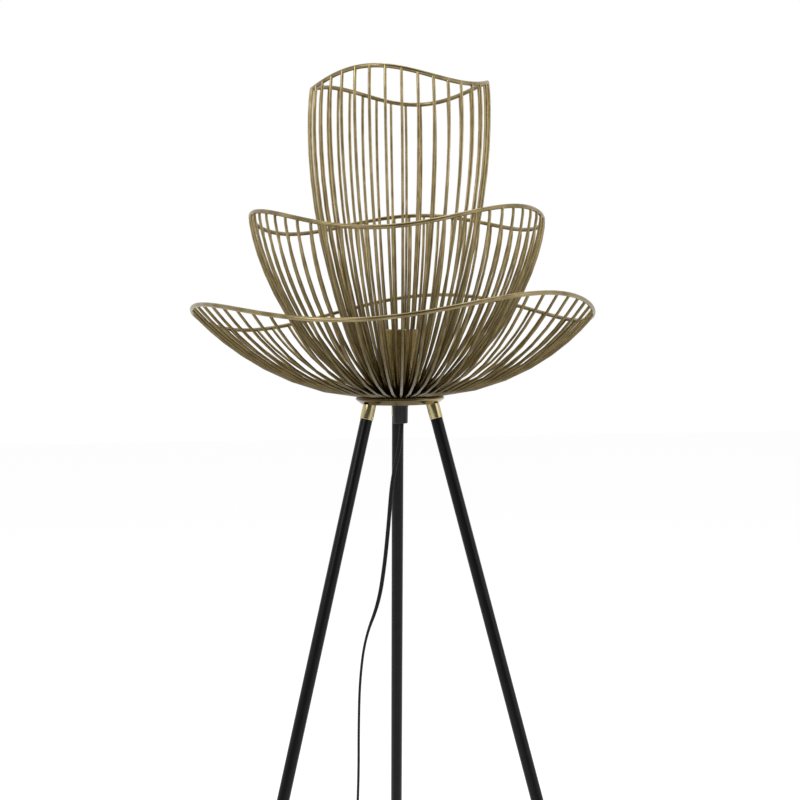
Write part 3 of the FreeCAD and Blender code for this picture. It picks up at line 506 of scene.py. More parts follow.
# %% [markdown]
# The cover of a flat twin lead has a figure-of-eight section: two round cores side by side with a
# shallow groove between them. A circle squashed to an oval and pinched at its waist gives that: GROOVE
# is the share of the thickness that the waist keeps, and SHOULDER fills out the cores beside it. The
# lead turns slowly about its own line as it hangs, which is why it looks wide near the pan and narrow
# lower down.


# %% The lead's section and its twist
LEAD_SIDES = 16
GROOVE = 0.74
SHOULDER = 0.192


def lead_section(bm):
    """A closed ring of edges in the flat, wide along X, thinner at its waist and full at its cores."""
    made = bmesh.ops.create_circle(bm, segments=LEAD_SIDES, radius=LEAD_WIDTH / 2)["verts"]
    for corner in made:
        out = abs(corner.co.x) / (LEAD_WIDTH / 2)
        pinch = GROOVE + 2 * (1 - GROOVE) * out if out < 0.5 else 1
        corner.co.y *= LEAD_THICKNESS / LEAD_WIDTH * pinch
        corner.co.y += math.copysign(SHOULDER * LEAD_THICKNESS * (1 - out**2) * out, corner.co.y)
    return edges_of(made)


def lead_piece(name, line, twist, *nodes):
    """The lead's cover along a line."""
    bm = bmesh.new()
    ring = lead_section(bm)
    last = sweep(bm, ring, stations_along(line, Vector((1, 0, 0)), twist))
    close_ends(bm, ring, last)
    return piece(bm, name, *nodes, sharp=60)


def ease(value, start, end):
    """0 before start, 1 past end, and a smooth step between."""
    part = min(max((value - start) / (end - start), 0), 1)
    return part * part * (3 - 2 * part)


TWIST_HEIGHTS = (0.79, 0.70)
UNTWIST_HEIGHTS = (0.30, 0.03)
FLAT_HEIGHTS = (0.10, 0.01)
UNTWIST_SHARE = 0.55


def hanging_twist(height):
    """A quarter turn under the pan, taken back in two overlapping steps towards the floor."""
    turn = ease(height, *TWIST_HEIGHTS) * (1 - UNTWIST_SHARE * ease(height, *UNTWIST_HEIGHTS))
    return QUARTER * (turn - (1 - UNTWIST_SHARE) * ease(height, *FLAT_HEIGHTS))


drop_twist = [hanging_twist(point.z) for point in drop_line]
drop_piece = lead_piece("hanging_lead", drop_line, drop_twist, "cord_drop")
tail_piece = lead_piece("coiled_lead", tail_line, None, "cord_tail", "cord_coil", "cord_end")

# %% [markdown]
# ## Wire cages
# Each cage is one rim of thicker wire, bent into three slow waves, and many ribs that leave a small
# round foot plate, swing outwards and meet the rim. The rim is a torus: a small circle spun round the
# lamp's axis. Its points are then lifted and moved by the same swings that the frame uses, once, twice
# or three times round. The rims are thicker here than in the frame, as the photograph shows them, so
# they are set a little inwards and down, which keeps them inside the frame's box.


# %% The cages' sizes
class Cage:
    """One cage: its ribs, the curve that they follow and the waves of its rim."""

    def __init__(
        self, name, ribs, first, stops, start, start_pull, end, end_pull, radius, rise, swings, shift
    ):
        self.name, self.stops = name, stops
        self.turns = [math.radians(first + 360 * i / ribs) for i in range(ribs)]
        self.start, self.end = math.radians(start), math.radians(end)
        self.start_pull, self.end_pull = start_pull * MM, end_pull * MM
        self.radius, self.rise = radius * MM, rise * MM
        self.swings = [(waves, height * MM, math.radians(turn)) for waves, height, turn in swings]
        self.shift, self.shift_turn = shift[0] * MM, math.radians(shift[1])
        self.seat_end = high(f"{name}_foot").x - LAMP.x
        self.seat_top = high(f"{name}_foot").z

    def rim(self, turn):
        """Radius and height of the rim's middle in the direction turn."""
        radius = self.radius + self.shift * math.cos(turn - self.shift_turn)
        height = PAN_BOTTOM + self.rise
        for waves, swing, highest in self.swings:
            height += swing * math.cos(waves * (turn - highest))
        return radius, height


CAGES = (
    Cage(
        "low_cage",
        ribs=60,
        first=3.5,
        stops=9,
        start=4.3,
        start_pull=129,
        end=48,
        end_pull=12,
        radius=265.4,
        rise=124.5,
        swings=((3, 17.2, 44.9), (1, 5.4, 55.4), (2, 6.2, -14)),
        shift=(8, -90),
    ),
    Cage(
        "middle_cage",
        ribs=57,
        first=1,
        stops=11,
        start=31.5,
        start_pull=137,
        end=93.6,
        end_pull=24.5,
        radius=193.5,
        rise=243,
        swings=((3, 12.7, 48), (1, 4, 170)),
        shift=(1, -90),
    ),
    Cage(
        "top_cage",
        ribs=36,
        first=0,
        stops=13,
        start=64.7,
        start_pull=245,
        end=109,
        end_pull=5,
        radius=116,
        rise=420,
        swings=((3, 8, -18.5), (1, 4, -46)),
        shift=(5, 90),
    ),
)
RIM_WIRE = 5.8 * MM
RIM_INSET = 0.9 * MM
RIM_SIDES = 10
RIM_STEPS = 144
RIB_WIRE = 4.0 * MM
RIB_SIDES = 6
RIB_SEAT = 6.5 * MM
RIB_STRAIGHT = 1.5 * MM


# %% Rims
def make_rim(cage):
    """A torus round the lamp's axis, bent into the rim's waves."""
    bm = bmesh.new()
    corners = bmesh.ops.create_circle(bm, segments=RIM_SIDES, radius=RIM_WIRE / 2)["verts"]
    upright = Matrix.Translation((0, -cage.radius, 0)) @ Matrix.Rotation(QUARTER, 4, "Y")
    bmesh.ops.transform(bm, matrix=upright, verts=corners)
    section = bm.verts[:] + bm.edges[:]
    bmesh.ops.spin(bm, geom=section, axis=UP, angle=FULL_TURN, steps=RIM_STEPS, use_merge=True)
    for corner in bm.verts:
        turn = math.atan2(corner.co.x, -corner.co.y)
        radius, height = cage.rim(turn)
        reach = math.hypot(corner.co.x, corner.co.y) - cage.radius + radius - RIM_INSET
        level = corner.co.z + height - RIM_INSET
        corner.co = LAMP + Vector((reach * math.sin(turn), -reach * math.cos(turn), level))
    piece(bm, cage.name + "_rim_wire", cage.name + "_rim", sharp=60, look=RIM_BRASS)


for cage in CAGES:
    make_rim(cage)

# %% [markdown]
# A rib's curve is a cubic Bézier: four points, where the second and third only say in which direction
# the wire leaves the plate and meets the rim, and for how long it holds that direction. The function
# `interpolate_bezier` walks along it. The same short sweep makes all of them, one by one, because each
# meets its own place on the waving rim.


# %% Ribs
def rib_points(cage, turn):
    """The rib's line: flat on its plate, then a curve up to the middle of the rim's wire."""
    radius, height = cage.rim(turn)
    start = Vector((cage.seat_end - RIB_WIRE / 2, 0, cage.seat_top + RIB_WIRE / 2))
    end = Vector((radius, 0, height))
    leave = start + Vector((math.cos(cage.start), 0, math.sin(cage.start))) * cage.start_pull
    meet = end - Vector((math.cos(cage.end), 0, math.sin(cage.end))) * cage.end_pull
    curve = interpolate_bezier(start, leave, meet, end, cage.stops)
    return [start - Vector((RIB_SEAT, 0, 0)), start - Vector((RIB_STRAIGHT, 0, 0))] + curve[1:]


def make_ribs(cage):
    """All ribs of a cage, each swept through its own points and turned to its place."""
    bm = bmesh.new()
    for turn in cage.turns:
        place = Matrix.Translation(LAMP) @ Matrix.Rotation(turn - QUARTER, 4, "Z")
        stations = [place @ s for s in stations_along(rib_points(cage, turn), Vector((0, 1, 0)))]
        ring = edges_of(bmesh.ops.create_circle(bm, segments=RIB_SIDES, radius=RIB_WIRE / 2)["verts"])
        last = sweep(bm, ring, stations)
        close_ends(bm, ring, last)
    piece(bm, cage.name + "_rib_wires", cage.name + "_ribs", sharp=70)


for cage in CAGES:
    make_ribs(cage)

# %% [markdown]
# ## Turned pieces
# Pan, plates, cup, lampholder, ferrules and feet are all turned: half of the section is drawn on one
# side of the axis and spun round it. The half section is first made as a flat face, because a face's
# corners can be bevelled, and a small rounding on each corner is what catches the light on real turned
# work. The face itself is then dropped, and its outline spun.


# %% Turning on a lathe
ROUNDING_STEPS = 4


def turn_profile(bm, corners, steps=96):
    """Spins (radius, height, rounding) corners, a closed half section in millimetres, round Z."""
    before = set(bm.verts)

    def new_verts():
        return [vert for vert in bm.verts if vert not in before]

    verts = [bm.verts.new((radius * MM, 0, height * MM)) for radius, height, _ in corners]
    bm.faces.new(verts)
    for size in sorted({rounding for _, _, rounding in corners if rounding}):
        bmesh.ops.bevel(
            bm,
            geom=[vert for vert, (_, _, rounding) in zip(verts, corners) if rounding == size],
            offset=size * MM,
            segments=ROUNDING_STEPS,
            profile=0.5,
            affect="VERTICES",
            material=-1,
        )
    faces = list(dict.fromkeys(face for vert in new_verts() for face in vert.link_faces))
    bmesh.ops.delete(bm, geom=faces, context="FACES_ONLY")
    on_axis = [edge for edge in edges_of(new_verts()) if max(v.co.x for v in edge.verts) < NOTHING]
    if on_axis:
        bmesh.ops.delete(bm, geom=on_axis, context="EDGES")
    outline = new_verts() + edges_of(new_verts())
    bmesh.ops.spin(bm, geom=outline, axis=UP, angle=FULL_TURN, steps=steps, use_merge=True)
    bmesh.ops.remove_doubles(bm, verts=new_verts(), dist=TOUCHING)
    return new_verts()


def turned_piece(name, corners, place, *nodes, steps=96, look=None):
    """One turned piece, put in its place by a matrix."""
    bm = bmesh.new()
    verts = turn_profile(bm, corners, steps)
    bmesh.ops.transform(bm, matrix=place, verts=verts)
    piece(bm, name, *nodes, look=look)


def on_axis_at(height):
    """A matrix that lifts a turned piece on the lamp's own axis."""
    return Matrix.Translation(LAMP + UP * height)


# %% [markdown]
# ### The pan and the cages' foot plates
# The pan is a thick brass disc. Its side draws in downwards, under a short straight band, and its edges
# are broken. The three plates on it step inwards, and each has its cage's ribs soldered round its edge.

# %% Pan and plates
NIPPLE_HOLE = 5.1
PAN_DRAW = 7.5
PAN_BAND = 2
pan_radius = mm_radius("base_pan")
pan_height = mm_height("base_pan")
turned_piece(
    "brass_pan",
    [
        (NIPPLE_HOLE, 0, 0),
        (pan_radius - PAN_DRAW, 0, 0.5),
        (pan_radius, pan_height - PAN_BAND, 0.5),
        (pan_radius, pan_height, 0.4),
        (NIPPLE_HOLE, pan_height, 0),
    ],
    on_axis_at(PAN_BOTTOM),
    "base_pan",
    steps=128,
    look=LEFT_DARKER_PAN_BRASS,
)
for cage in CAGES:
    foot = cage.name + "_foot"
    edge = mm_radius(foot)
    thickness = mm_height(foot)
    turned_piece(
        cage.name + "_foot_disc",
        [(NIPPLE_HOLE, 0, 0), (edge, 0, 0.2), (edge, thickness, 0.5), (NIPPLE_HOLE, thickness, 0)],
        on_axis_at(low(foot).z),
        foot,
    )

# %% [markdown]
# ### The cup and the lampholder
# A deep spun cup hides the lampholder. Spun metal is never left with a raw edge, so its lip is fully
# rounded. Inside it the lampholder's two mouldings and its screw shell are turned in the same way, and
# its ceramic core and its contacts are the frame's own. The screw shell's thread is a true helix: each
# point of a plain tube is moved in and out by a sine of its height and its angle together.

# %% Cup and lampholder mouldings
CUP_WALL = 1.2
CUP_LIP = 0.55
cup_radius = mm_radius("holder_cup")
cup_height = mm_height("holder_cup")
turned_piece(
    "brass_cup",
    [
        (NIPPLE_HOLE, 0, 0),
        (cup_radius, 0, 2.2),
        (cup_radius, cup_height, CUP_LIP),
        (cup_radius - CUP_WALL, cup_height, CUP_LIP),
        (cup_radius - CUP_WALL, CUP_WALL, 1.2),
        (NIPPLE_HOLE, CUP_WALL, 0),
    ],
    on_axis_at(low("holder_cup").z),
    "holder_cup",
)
HOLDER_WALL = 2.5
CAP_CHAMFER = 1.5
CAP_HEIGHT = 12
CAP_FLOOR = 2.2
HUB_RADIUS = 7.8
HUB_HEIGHT = 8
holder_radius = mm_radius("holder_base")
holder_inside = holder_radius - HOLDER_WALL
turned_piece(
    "lampholder_cap",
    [
        (NIPPLE_HOLE, 0, 0),
        (holder_radius - CAP_CHAMFER, 0, 1.5),
        (holder_radius, 3.5, 1.0),
        (holder_radius, CAP_HEIGHT, 0.3),
        (holder_inside - 1.5, CAP_HEIGHT, 0),
        (holder_inside - 1.5, CAP_FLOOR, 0.5),
        (HUB_RADIUS, CAP_FLOOR, 0.5),
        (HUB_RADIUS, HUB_HEIGHT, 0.4),
        (NIPPLE_HOLE, HUB_HEIGHT, 0),
    ],
    on_axis_at(low("holder_base").z),
    "holder_base",
    steps=72,
)
MOUTH_RADIUS = 14.6
MOUTH_DEPTH = 2.5
BANDS = 5
FIRST_BAND = 8
BAND_PITCH = 5.5
BAND_DEPTH = 0.7
shell_height = mm_height("holder_shell")
shell_corners = [(holder_inside, 0, 0), (holder_radius, 0, 0.3)]
for band in range(BANDS):
    start = FIRST_BAND + band * BAND_PITCH
    shell_corners += [(holder_radius, start, 0.4), (holder_radius - BAND_DEPTH, start + 1, 0.3)]
    shell_corners += [(holder_radius - BAND_DEPTH, start + 2.5, 0.3), (holder_radius, start + 3.5, 0.4)]
shell_corners += [
    (holder_radius, shell_height, 1.4),
    (MOUTH_RADIUS, shell_height, 0.8),
    (MOUTH_RADIUS, shell_height - MOUTH_DEPTH, 0.4),
    (holder_inside, shell_height - MOUTH_DEPTH, 0.4),
]
shell_place = on_axis_at(low("holder_shell").z)
turned_piece("lampholder_shell", shell_corners, shell_place, "holder_shell", steps=72)


# %% Screw shell with its thread
THREAD_PITCH = 3.6
THREAD_DEPTH = 0.45
THREAD_WALL = 0.5
THREAD_FADE = 2
THREAD_ROWS = 60


def make_screw_shell():
    """A thin tube whose wall runs in and out along a helix, fading to plain at both ends."""
    radius = mm_radius("screw_shell")
    height = mm_height("screw_shell")
    levels = [height * i / THREAD_ROWS for i in range(THREAD_ROWS + 1)]
    inside = [(radius - THREAD_WALL, level, 0) for level in levels]
    outside = [(radius, level, 0) for level in reversed(levels)]
    bm = bmesh.new()
    verts = turn_profile(bm, inside + outside, steps=72)
    for vert in verts:
        turn = math.atan2(vert.co.y, vert.co.x)
        reach = math.hypot(vert.co.x, vert.co.y)
        wave = math.sin(FULL_TURN * vert.co.z / (THREAD_PITCH * MM) - turn)
        fade = min(vert.co.z, height * MM - vert.co.z) / (THREAD_FADE * MM)
        move = (wave - 1) * THREAD_DEPTH / 2 * MM * min(fade, 1)
        vert.co.x *= (reach + move) / reach
        vert.co.y *= (reach + move) / reach
    bmesh.ops.transform(bm, matrix=on_axis_at(low("screw_shell").z), verts=verts)
    piece(bm, "thread_shell", "screw_shell", sharp=60)


make_screw_shell()

# %% [markdown]
# ## The tripod
# All three legs are the same: a brass ferrule brazed under the pan, a black tube, and a rubber foot. A
# leg is drawn hanging from the origin with its line along Z, and one matrix leans it and carries it to
# its place, so nothing on it has to be worked out at a slant. What ends level is drawn longer by
# CUT_SPARE and then cut off.

# %% A leg's place
LEG_SPLAY = math.radians(15.6)
LEG_RADIUS = 8.0
LEG_INSET = 3.5
LEG_REACH = (pan_radius - PAN_DRAW - LEG_INSET) * MM
LEG_LINE = PAN_BOTTOM / math.cos(LEG_SPLAY) / MM
TUBE_WALL = 1.5
FERRULE_LENGTH = 20
FERRULE_WALL = 0.7
FERRULE_SINK = 1.2 * MM
FOOT_SOLE = 5
FOOT_HEIGHT = 18
FOOT_PLAY = 0.1
FOOT_WALL = 1.7
CUT_SPARE = 8
LEGS = (("front_left", -60), ("front_right", 60), ("rear", 180))


def leg_place(turn):
    """Leans a piece drawn down from the origin and carries it to where its leg meets the pan."""
    turn = math.radians(turn)
    top = LAMP + Vector((math.sin(turn), -math.cos(turn), 0)) * LEG_REACH + UP * PAN_BOTTOM
    lean = Matrix.Rotation(turn, 4, "Z") @ Matrix.Rotation(-LEG_SPLAY, 4, "X")
    return Matrix.Translation(top) @ lean


# %% Ferrules, tubes and feet
def cut_off(bm, point, normal):
    """Cuts away what lies past a plane and closes the cut."""
    geom = bm.verts[:] + bm.edges[:] + bm.faces[:]
    made = bmesh.ops.bisect_plane(bm, geom=geom, plane_co=point, plane_no=normal, clear_outer=True)
    close_ends(bm, only(bmesh.types.BMEdge, made["geom_cut"]))


def make_leg(corner, turn):
    """Ferrule and tube of one leg. The ferrule is drawn too long and cut off level in the pan."""
    place = leg_place(turn)
    outside = LEG_RADIUS + FERRULE_WALL
    ferrule = [
        (0, CUT_SPARE, 0),
        (outside, CUT_SPARE, 0),
        (outside, -FERRULE_LENGTH, 0.6),
        (0, -FERRULE_LENGTH, 0),
    ]
    bm = bmesh.new()
    verts = turn_profile(bm, ferrule, steps=64)
    bmesh.ops.transform(bm, matrix=place, verts=verts)
    cut_off(bm, UP * (PAN_BOTTOM + FERRULE_SINK), UP)
    piece(bm, "brass_ferrule_" + corner, "ferrule_" + corner)

    tube = [
        (LEG_RADIUS - TUBE_WALL, -FERRULE_LENGTH, 0),
        (LEG_RADIUS, -FERRULE_LENGTH, 0.3),
        (LEG_RADIUS, FOOT_SOLE - LEG_LINE, 0.3),
        (LEG_RADIUS - TUBE_WALL, FOOT_SOLE - LEG_LINE, 0),
    ]
    turned_piece("leg_tube_" + corner, tube, place, "leg_" + corner, steps=64)


def make_feet():
    """Rubber feet, each a sleeve with a grip ring over a sole that is cut level with the floor."""
    inside = LEG_RADIUS + FOOT_PLAY
    outside = inside + FOOT_WALL
    sole = FOOT_SOLE - LEG_LINE
    top = sole + FOOT_HEIGHT
    sleeve = [
        (inside, top, 0),
        (outside - 0.5, top, 0.4),
        (outside - 0.5, top - 2.5, 0.3),
        (outside, top - 3.2, 0.3),
        (outside, -LEG_LINE - CUT_SPARE, 0),
        (0, -LEG_LINE - CUT_SPARE, 0),
        (0, sole, 0),
        (inside, sole, 0),
    ]
    bm = bmesh.new()
    for _, turn in LEGS:
        foot = bmesh.new()
        verts = turn_profile(foot, sleeve, steps=64)
        bmesh.ops.transform(foot, matrix=leg_place(turn), verts=verts)
        cut_off(foot, Vector((0, 0, 0)), -UP)
        carrier = bpy.data.meshes.new("foot")
        foot.to_mesh(carrier)
        foot.free()
        bm.from_mesh(carrier)
        bpy.data.meshes.remove(carrier)
    piece(bm, "sleeve_feet", "rubber_feet")


for corner, turn in LEGS:
    make_leg(corner, turn)
make_feet()

# %% [markdown]
# ## The cord grip
# Under the pan a black moulded grip holds the lead, a little wider than the frame's. It tapers
# slightly, as every moulding does so that it leaves its mould, and its lower edge is rounded where the
# lead comes out. Its top is hollow, so that it closes over the nut under the pan.

# %% Cord grip
GRIP_SPARE = 1.2
GRIP_BAND = 4
GRIP_TAPER = 1.1
NUT_ROOM = (8.6, 3.5)
NIPPLE_DEPTH = 16.5
grip_radius = mm_radius("cord_gland") + GRIP_SPARE
grip_length = mm_height("cord_gland")
turned_piece(
    "cord_grip",
    [
        (NUT_ROOM[0], 0, 0),
        (grip_radius, 0, 0.4),
        (grip_radius, -GRIP_BAND, 0.3),
        (grip_radius - 0.5, -GRIP_BAND - 0.6, 0.3),
        (grip_radius - GRIP_TAPER, -grip_length, 1.2),
        (0, -grip_length, 0),
        (0, -NIPPLE_DEPTH, 0),
        (NIPPLE_HOLE, -NIPPLE_DEPTH, 0),
        (NIPPLE_HOLE, -NUT_ROOM[1], 0),
        (NUT_ROOM[0], -NUT_ROOM[1], 0),
    ],
    on_axis_at(PAN_BOTTOM),
    "cord_gland",
    steps=64,
)

# %% [markdown]
# ## The foot switch
# Two moulded shells meet at the lead's height. Seen from above they are a stadium: a circle pulled
# apart along its middle. A shell is built as a skin over a row of such rings, from the outer foot over
# the rounded top, down through the button's window and along the inside, and each pair is bridged.


# %% Skins over rings
RING_SIDES = 48


def stadium_ring(bm, radius, pull, height):
    """A ring of edges: a circle whose two halves are pulled apart along Y, all in millimetres."""
    half_a_side = Matrix.Rotation(math.pi / RING_SIDES, 4, "Z")
    made = bmesh.ops.create_circle(bm, segments=RING_SIDES, radius=radius * MM, matrix=half_a_side)
    for vert in made["verts"]:
        vert.co.y += math.copysign(pull * MM, vert.co.y)
        vert.co.z = height * MM
    return edges_of(made["verts"])


def skin(bm, rings, closed=True):
    """Bridges each ring of (radius, pull, height) to the next, and the last to the first if closed."""
    made = [stadium_ring(bm, *ring) for ring in rings]
    for ring, following in zip(made, made[1:] + (made[:1] if closed else [])):
        bmesh.ops.bridge_loops(bm, edges=ring + following)
    return made


# %% Foot switch shells and button
SHELL_WALL = 2.2
SHELL_TOP = 2.5
EDGE = 2.5
EDGE_STEPS = 4
WINDOW = 11.3
WINDOW_RING = 1.6
RING_DEPTH = 0.6
FLANGE = (13, 2.5)
BUTTON = 11
BUTTON_DISH = 0.8
switch_width = (switch_high.x - switch_low.x) / MM / 2
pull = (high("switch_cover").y - low("switch_cover").y) / MM / 2 - switch_width


def make_switch_base():
    """Lower shell: a solid stadium with a rounded foot."""
    height = mm_height("switch_base")
    outline = [(1.2, 0), (0.35, 0.35), (0, 1.2), (0, height - 0.3), (0.3, height)]
    bm = bmesh.new()
    made = skin(bm, [(switch_width - inward, pull, level) for inward, level in outline], closed=False)
    close_ends(bm, made[0], made[-1])
    bmesh.ops.translate(bm, vec=SWITCH, verts=bm.verts)
    piece(bm, "switch_lower_shell", "switch_base")


def make_switch_cover():
    """Upper shell: rounded top, a sunk ring round the button's window, and an open inside."""
    height = mm_height("switch_cover")
    rings = [(switch_width - 0.3, pull, 0), (switch_width, pull, 0.3)]
    for i in range(EDGE_STEPS + 1):
        turn = QUARTER * i / EDGE_STEPS
        inward = EDGE * (1 - math.cos(turn))
        rings.append((switch_width - inward, pull, height - EDGE + EDGE * math.sin(turn)))
    rings += [
        (WINDOW + WINDOW_RING + 0.6, 0, height),
        (WINDOW + WINDOW_RING, 0, height - RING_DEPTH),
        (WINDOW, 0, height - RING_DEPTH),
        (WINDOW, 0, height - SHELL_TOP),
        (switch_width - SHELL_WALL, pull, height - SHELL_TOP),
        (switch_width - SHELL_WALL, pull, 0),
    ]
    bm = bmesh.new()
    skin(bm, rings)
    bmesh.ops.translate(bm, vec=SWITCH + UP * low("switch_cover").z, verts=bm.verts)
    piece(bm, "switch_upper_shell", "switch_cover", sharp=25)


def make_switch_button():
    """Round button with a dished top and a flange that holds it under the shell."""
    height = mm_height("switch_button")
    flange, flange_height = FLANGE
    corners = [
        (0, 0, 0),
        (flange, 0, 0.3),
        (flange, flange_height, 0.3),
        (BUTTON, flange_height, 0.2),
        (BUTTON, height, 0.9),
        (8.5, height, 1.5),
        (5, height - 0.7, 3),
        (0, height - BUTTON_DISH, 0),
    ]
    bm = bmesh.new()
    verts = turn_profile(bm, corners, steps=64)
    place = Matrix.Translation(SWITCH + UP * low("switch_button").z)
    bmesh.ops.transform(bm, matrix=place, verts=verts)
    piece(bm, "round_button", "switch_button", body="button", sharp=40)


make_switch_base()
make_switch_cover()
make_switch_button()

# %% [markdown]
# The strain reliefs are soft tapered mouldings with a row of grooves, so that the lead can bend in them
# but never kink. They are turned along Z and laid down along the lead.


# %% Strain reliefs
GROOVES = 5
GROOVE_DEPTH = 0.9
RELIEF_TIP = 3.6
PLAIN_END = 2


def relief_corners(length, hold, thick):
    """A taper with square grooves, plain at both ends, its root hidden in the housing."""
    corners = [(0, -hold, 0), (thick, -hold, 0), (thick, 0.8, 0.2)]
    pitch = (length - 2 * PLAIN_END) / GROOVES
    for i in range(GROOVES):
        start = PLAIN_END + pitch * i
        outer = thick + (RELIEF_TIP - thick) * start / length
        floor = outer - GROOVE_DEPTH
        corners += [(outer, start, 0.15), (floor, start + 0.3, 0)]
        corners += [(floor, start + pitch * 0.45, 0), (outer - 0.1, start + pitch * 0.5, 0.15)]
    corners += [(RELIEF_TIP, length, 0.5), (0, length, 0)]
    return corners


def lay_along(point, way):
    """A matrix that lays a piece drawn along Z along Y, forwards or backwards."""
    return Matrix.Translation(point) @ Matrix.Rotation(-QUARTER * way, 4, "X")


def make_switch_relief(name, face, way):
    """One strain relief of the foot switch, pointing the given way along Y."""
    bm = bmesh.new()
    verts = turn_profile(bm, relief_corners(length=20, hold=6, thick=4.6), steps=32)
    place = lay_along(Vector((SWITCH.x, face, LEAD_LEVEL)), way)
    bmesh.ops.transform(bm, matrix=place, verts=verts)
    piece(bm, name, "switch_grommets")


make_switch_relief("front_relief", low("switch_cover").y, -1)
make_switch_relief("back_relief", high("switch_cover").y, 1)

# %% [markdown]
# ## The plug
# A flat two-pin plug, drawn as seen from above: full width at the pins, drawn in to its tail. The
# outline is a face, bevelled at its corners, extruded to the plug's thickness and bevelled once more
# round both edges.


# %% Plug body, tail and pins
PLUG_SHOULDER = 13 * MM
PLUG_NECK = 6.5 * MM
PLUG_CORNER = 4 * MM
PLUG_EDGE = 2.2 * MM
PIN_RADIUS = 2


def make_plug():
    """The flat body, rounded at the corners of its outline and round both faces."""
    lowest, highest = low("plug_body"), high("plug_body")
    half = (highest.x - lowest.x) / 2
    middle = (highest.x + lowest.x) / 2
    length = highest.y - lowest.y
    right = [(half, 0), (half, PLUG_SHOULDER), (PLUG_NECK, length)]
    outline = right + [(-x, y) for x, y in reversed(right)]
    bm = bmesh.new()
    verts = [bm.verts.new((middle + x, lowest.y + y, lowest.z)) for x, y in outline]
    bm.faces.new(verts)
    rounded = dict(profile=0.5, material=-1)
    bmesh.ops.bevel(bm, geom=verts, offset=PLUG_CORNER, segments=6, affect="VERTICES", **rounded)
    top = bmesh.ops.extrude_face_region(bm, geom=bm.faces[:])["geom"]
    raised = only(bmesh.types.BMVert, top)
    bmesh.ops.translate(bm, vec=UP * (highest.z - lowest.z), verts=raised)
    level = [edge for edge in bm.edges if abs(edge.verts[0].co.z - edge.verts[1].co.z) < NOTHING]
    bmesh.ops.bevel(bm, geom=level, offset=PLUG_EDGE, segments=4, affect="EDGES", **rounded)
    piece(bm, "flat_plug", "plug_body", sharp=40)


def make_plug_tail():
    """The plug's own strain relief."""
    root, tip = low("plug_tail").y, high("plug_tail").y
    bm = bmesh.new()
    verts = turn_profile(bm, relief_corners(length=(tip - root) / MM, hold=0, thick=4.8), steps=32)
    place = lay_along(Vector((plug_in.x, root, plug_in.z)), 1)
    bmesh.ops.transform(bm, matrix=place, verts=verts)
    piece(bm, "plug_relief", "plug_tail")


def make_pins():
    """Two round pins with rounded ends."""
    tip, root = low("plug_pins"), high("plug_pins")
    length = (root.y - tip.y) / MM
    pin = [(0, 0, 0), (PIN_RADIUS, 0, 0), (PIN_RADIUS, length, 1.2), (0, length, 0)]
    bm = bmesh.new()
    for x in (tip.x + PIN_RADIUS * MM, root.x - PIN_RADIUS * MM):
        verts = turn_profile(bm, pin, steps=32)
        bmesh.ops.transform(bm, matrix=lay_along(Vector((x, root.y, plug_in.z)), -1), verts=verts)
    piece(bm, "round_pins", "plug_pins", sharp=50)


make_plug()
make_plug_tail()
make_pins()

# %% The foot switch's pieces, listed
switch_pieces = ["switch_lower_shell", "switch_upper_shell", "round_button", "front_relief"]
switch_pieces += ["switch_block", "switch_screws"]

# %% [markdown]
# ## Floor, background and light
# The photograph has a plain white ground. A large pale floor catches the lamp's shadow, and the world
# gives an even light. To the camera the world is plain white, and only for the light that it sheds is
# it a little weaker, so that white stays white and nothing burns out. Mirrored in brass it is white
# too, but for the side behind the camera: that is the studio's dark end, which gives the wires their
# dark edges.


# %% What the camera and reflections see
def seen_directly(tree):
    """1 for what the camera sees, straight, in a reflection or through glass, and 0 for shed light."""
    path = tree.nodes.new("ShaderNodeLightPath")
    seen = path.outputs["Is Camera Ray"]
    for ray in ("Is Glossy Ray", "Is Transmission Ray"):
        either = tree.nodes.new("ShaderNodeMath")
        either.operation = "MAXIMUM"
        tree.links.new(seen, either.inputs[0])
        tree.links.new(path.outputs[ray], either.inputs[1])
        seen = either.outputs[0]
    return seen


def chosen_level(tree, shed, seen):
    """One number for the light that is shed, and another for what is seen."""
    level = tree.nodes.new("ShaderNodeMapRange")
    level.inputs["To Min"].default_value = shed
    level.inputs["To Max"].default_value = seen
    tree.links.new(seen_directly(tree), level.inputs["Value"])
    return level.outputs["Result"]


# %% Floor
FLOOR_REACH = 12
FLOOR_GLOW = 0.5

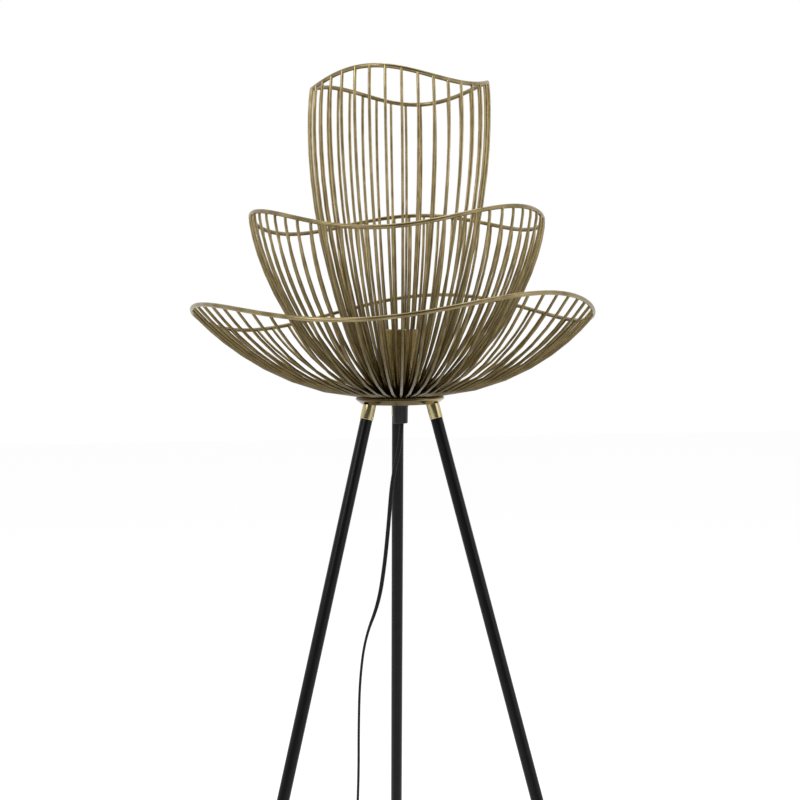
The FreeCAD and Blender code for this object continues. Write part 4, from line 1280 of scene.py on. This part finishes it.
bm = bmesh.new()
bmesh.ops.create_grid(bm, x_segments=1, y_segments=1, size=FLOOR_REACH)
floor_mesh = bpy.data.meshes.new("floor")
bm.to_mesh(floor_mesh)
bm.free()
floor = bpy.data.objects.new("floor", floor_mesh)
bpy.context.scene.collection.objects.link(floor)
floor_material = bpy.data.materials.new("pale floor")
floor_material.use_nodes = True
tree = floor_material.node_tree
shader = tree.nodes["Principled BSDF"]
shader.inputs["Base Color"].default_value = (*grey(0.80), 1)
shader.inputs["Roughness"].default_value = 1.0
shader.inputs["Specular IOR Level"].default_value = 0
shader.inputs["Emission Color"].default_value = (*grey(1), 1)
tree.links.new(chosen_level(tree, 0, FLOOR_GLOW), shader.inputs["Emission Strength"])
floor.data.materials.append(floor_material)

# %% World
SHED_LIGHT = 0.6
DARK_LIGHT = 0.12
DARK_FROM = -0.75
DARK_TO = -0.15

world = bpy.data.worlds.new("studio")
bpy.context.scene.world = world
world.use_nodes = True
tree = world.node_tree
sky = tree.nodes["Background"]
sky.inputs["Color"].default_value = (*grey(1), 1)
split = tree.nodes.new("ShaderNodeSeparateXYZ")
tree.links.new(tree.nodes.new("ShaderNodeTexCoord").outputs["Generated"], split.inputs["Vector"])
dark_side = tree.nodes.new("ShaderNodeMapRange")
dark_side.interpolation_type = "SMOOTHSTEP"
dark_side.inputs["From Min"].default_value = DARK_FROM
dark_side.inputs["From Max"].default_value = DARK_TO
dark_side.inputs["To Min"].default_value = DARK_LIGHT
tree.links.new(split.outputs["Y"], dark_side.inputs["Value"])
in_metal = tree.nodes.new("ShaderNodeLightPath").outputs["Is Glossy Ray"]
dimmed = tree.nodes.new("ShaderNodeMapRange")
dimmed.inputs["To Min"].default_value = 1.0
tree.links.new(in_metal, dimmed.inputs["Value"])
tree.links.new(dark_side.outputs["Result"], dimmed.inputs["To Max"])
level = tree.nodes.new("ShaderNodeMath")
level.operation = "MULTIPLY"
tree.links.new(chosen_level(tree, SHED_LIGHT, 1.0), level.inputs[0])
tree.links.new(dimmed.outputs["Result"], level.inputs[1])
tree.links.new(level.outputs["Value"], sky.inputs["Strength"])


# %% Lamps
def softbox(name, place, target, size, power):
    """A large square area light that faces target."""
    data = bpy.data.lights.new(name, "AREA")
    data.shape = "SQUARE"
    data.size = size
    data.energy = power
    light = bpy.data.objects.new(name, data)
    bpy.context.scene.collection.objects.link(light)
    light.location = place
    light.rotation_euler = (Vector(target) - Vector(place)).to_track_quat("-Z", "Y").to_euler()


aim = LAMP + UP * 1.1
softbox("key", (-2.2, -2.4, 2.9), aim, size=1.6, power=42)
softbox("fill", (2.6, -1.8, 1.8), aim, size=2.0, power=16)
softbox("top", (0.2, 0.6, 3.4), aim, size=1.4, power=18)
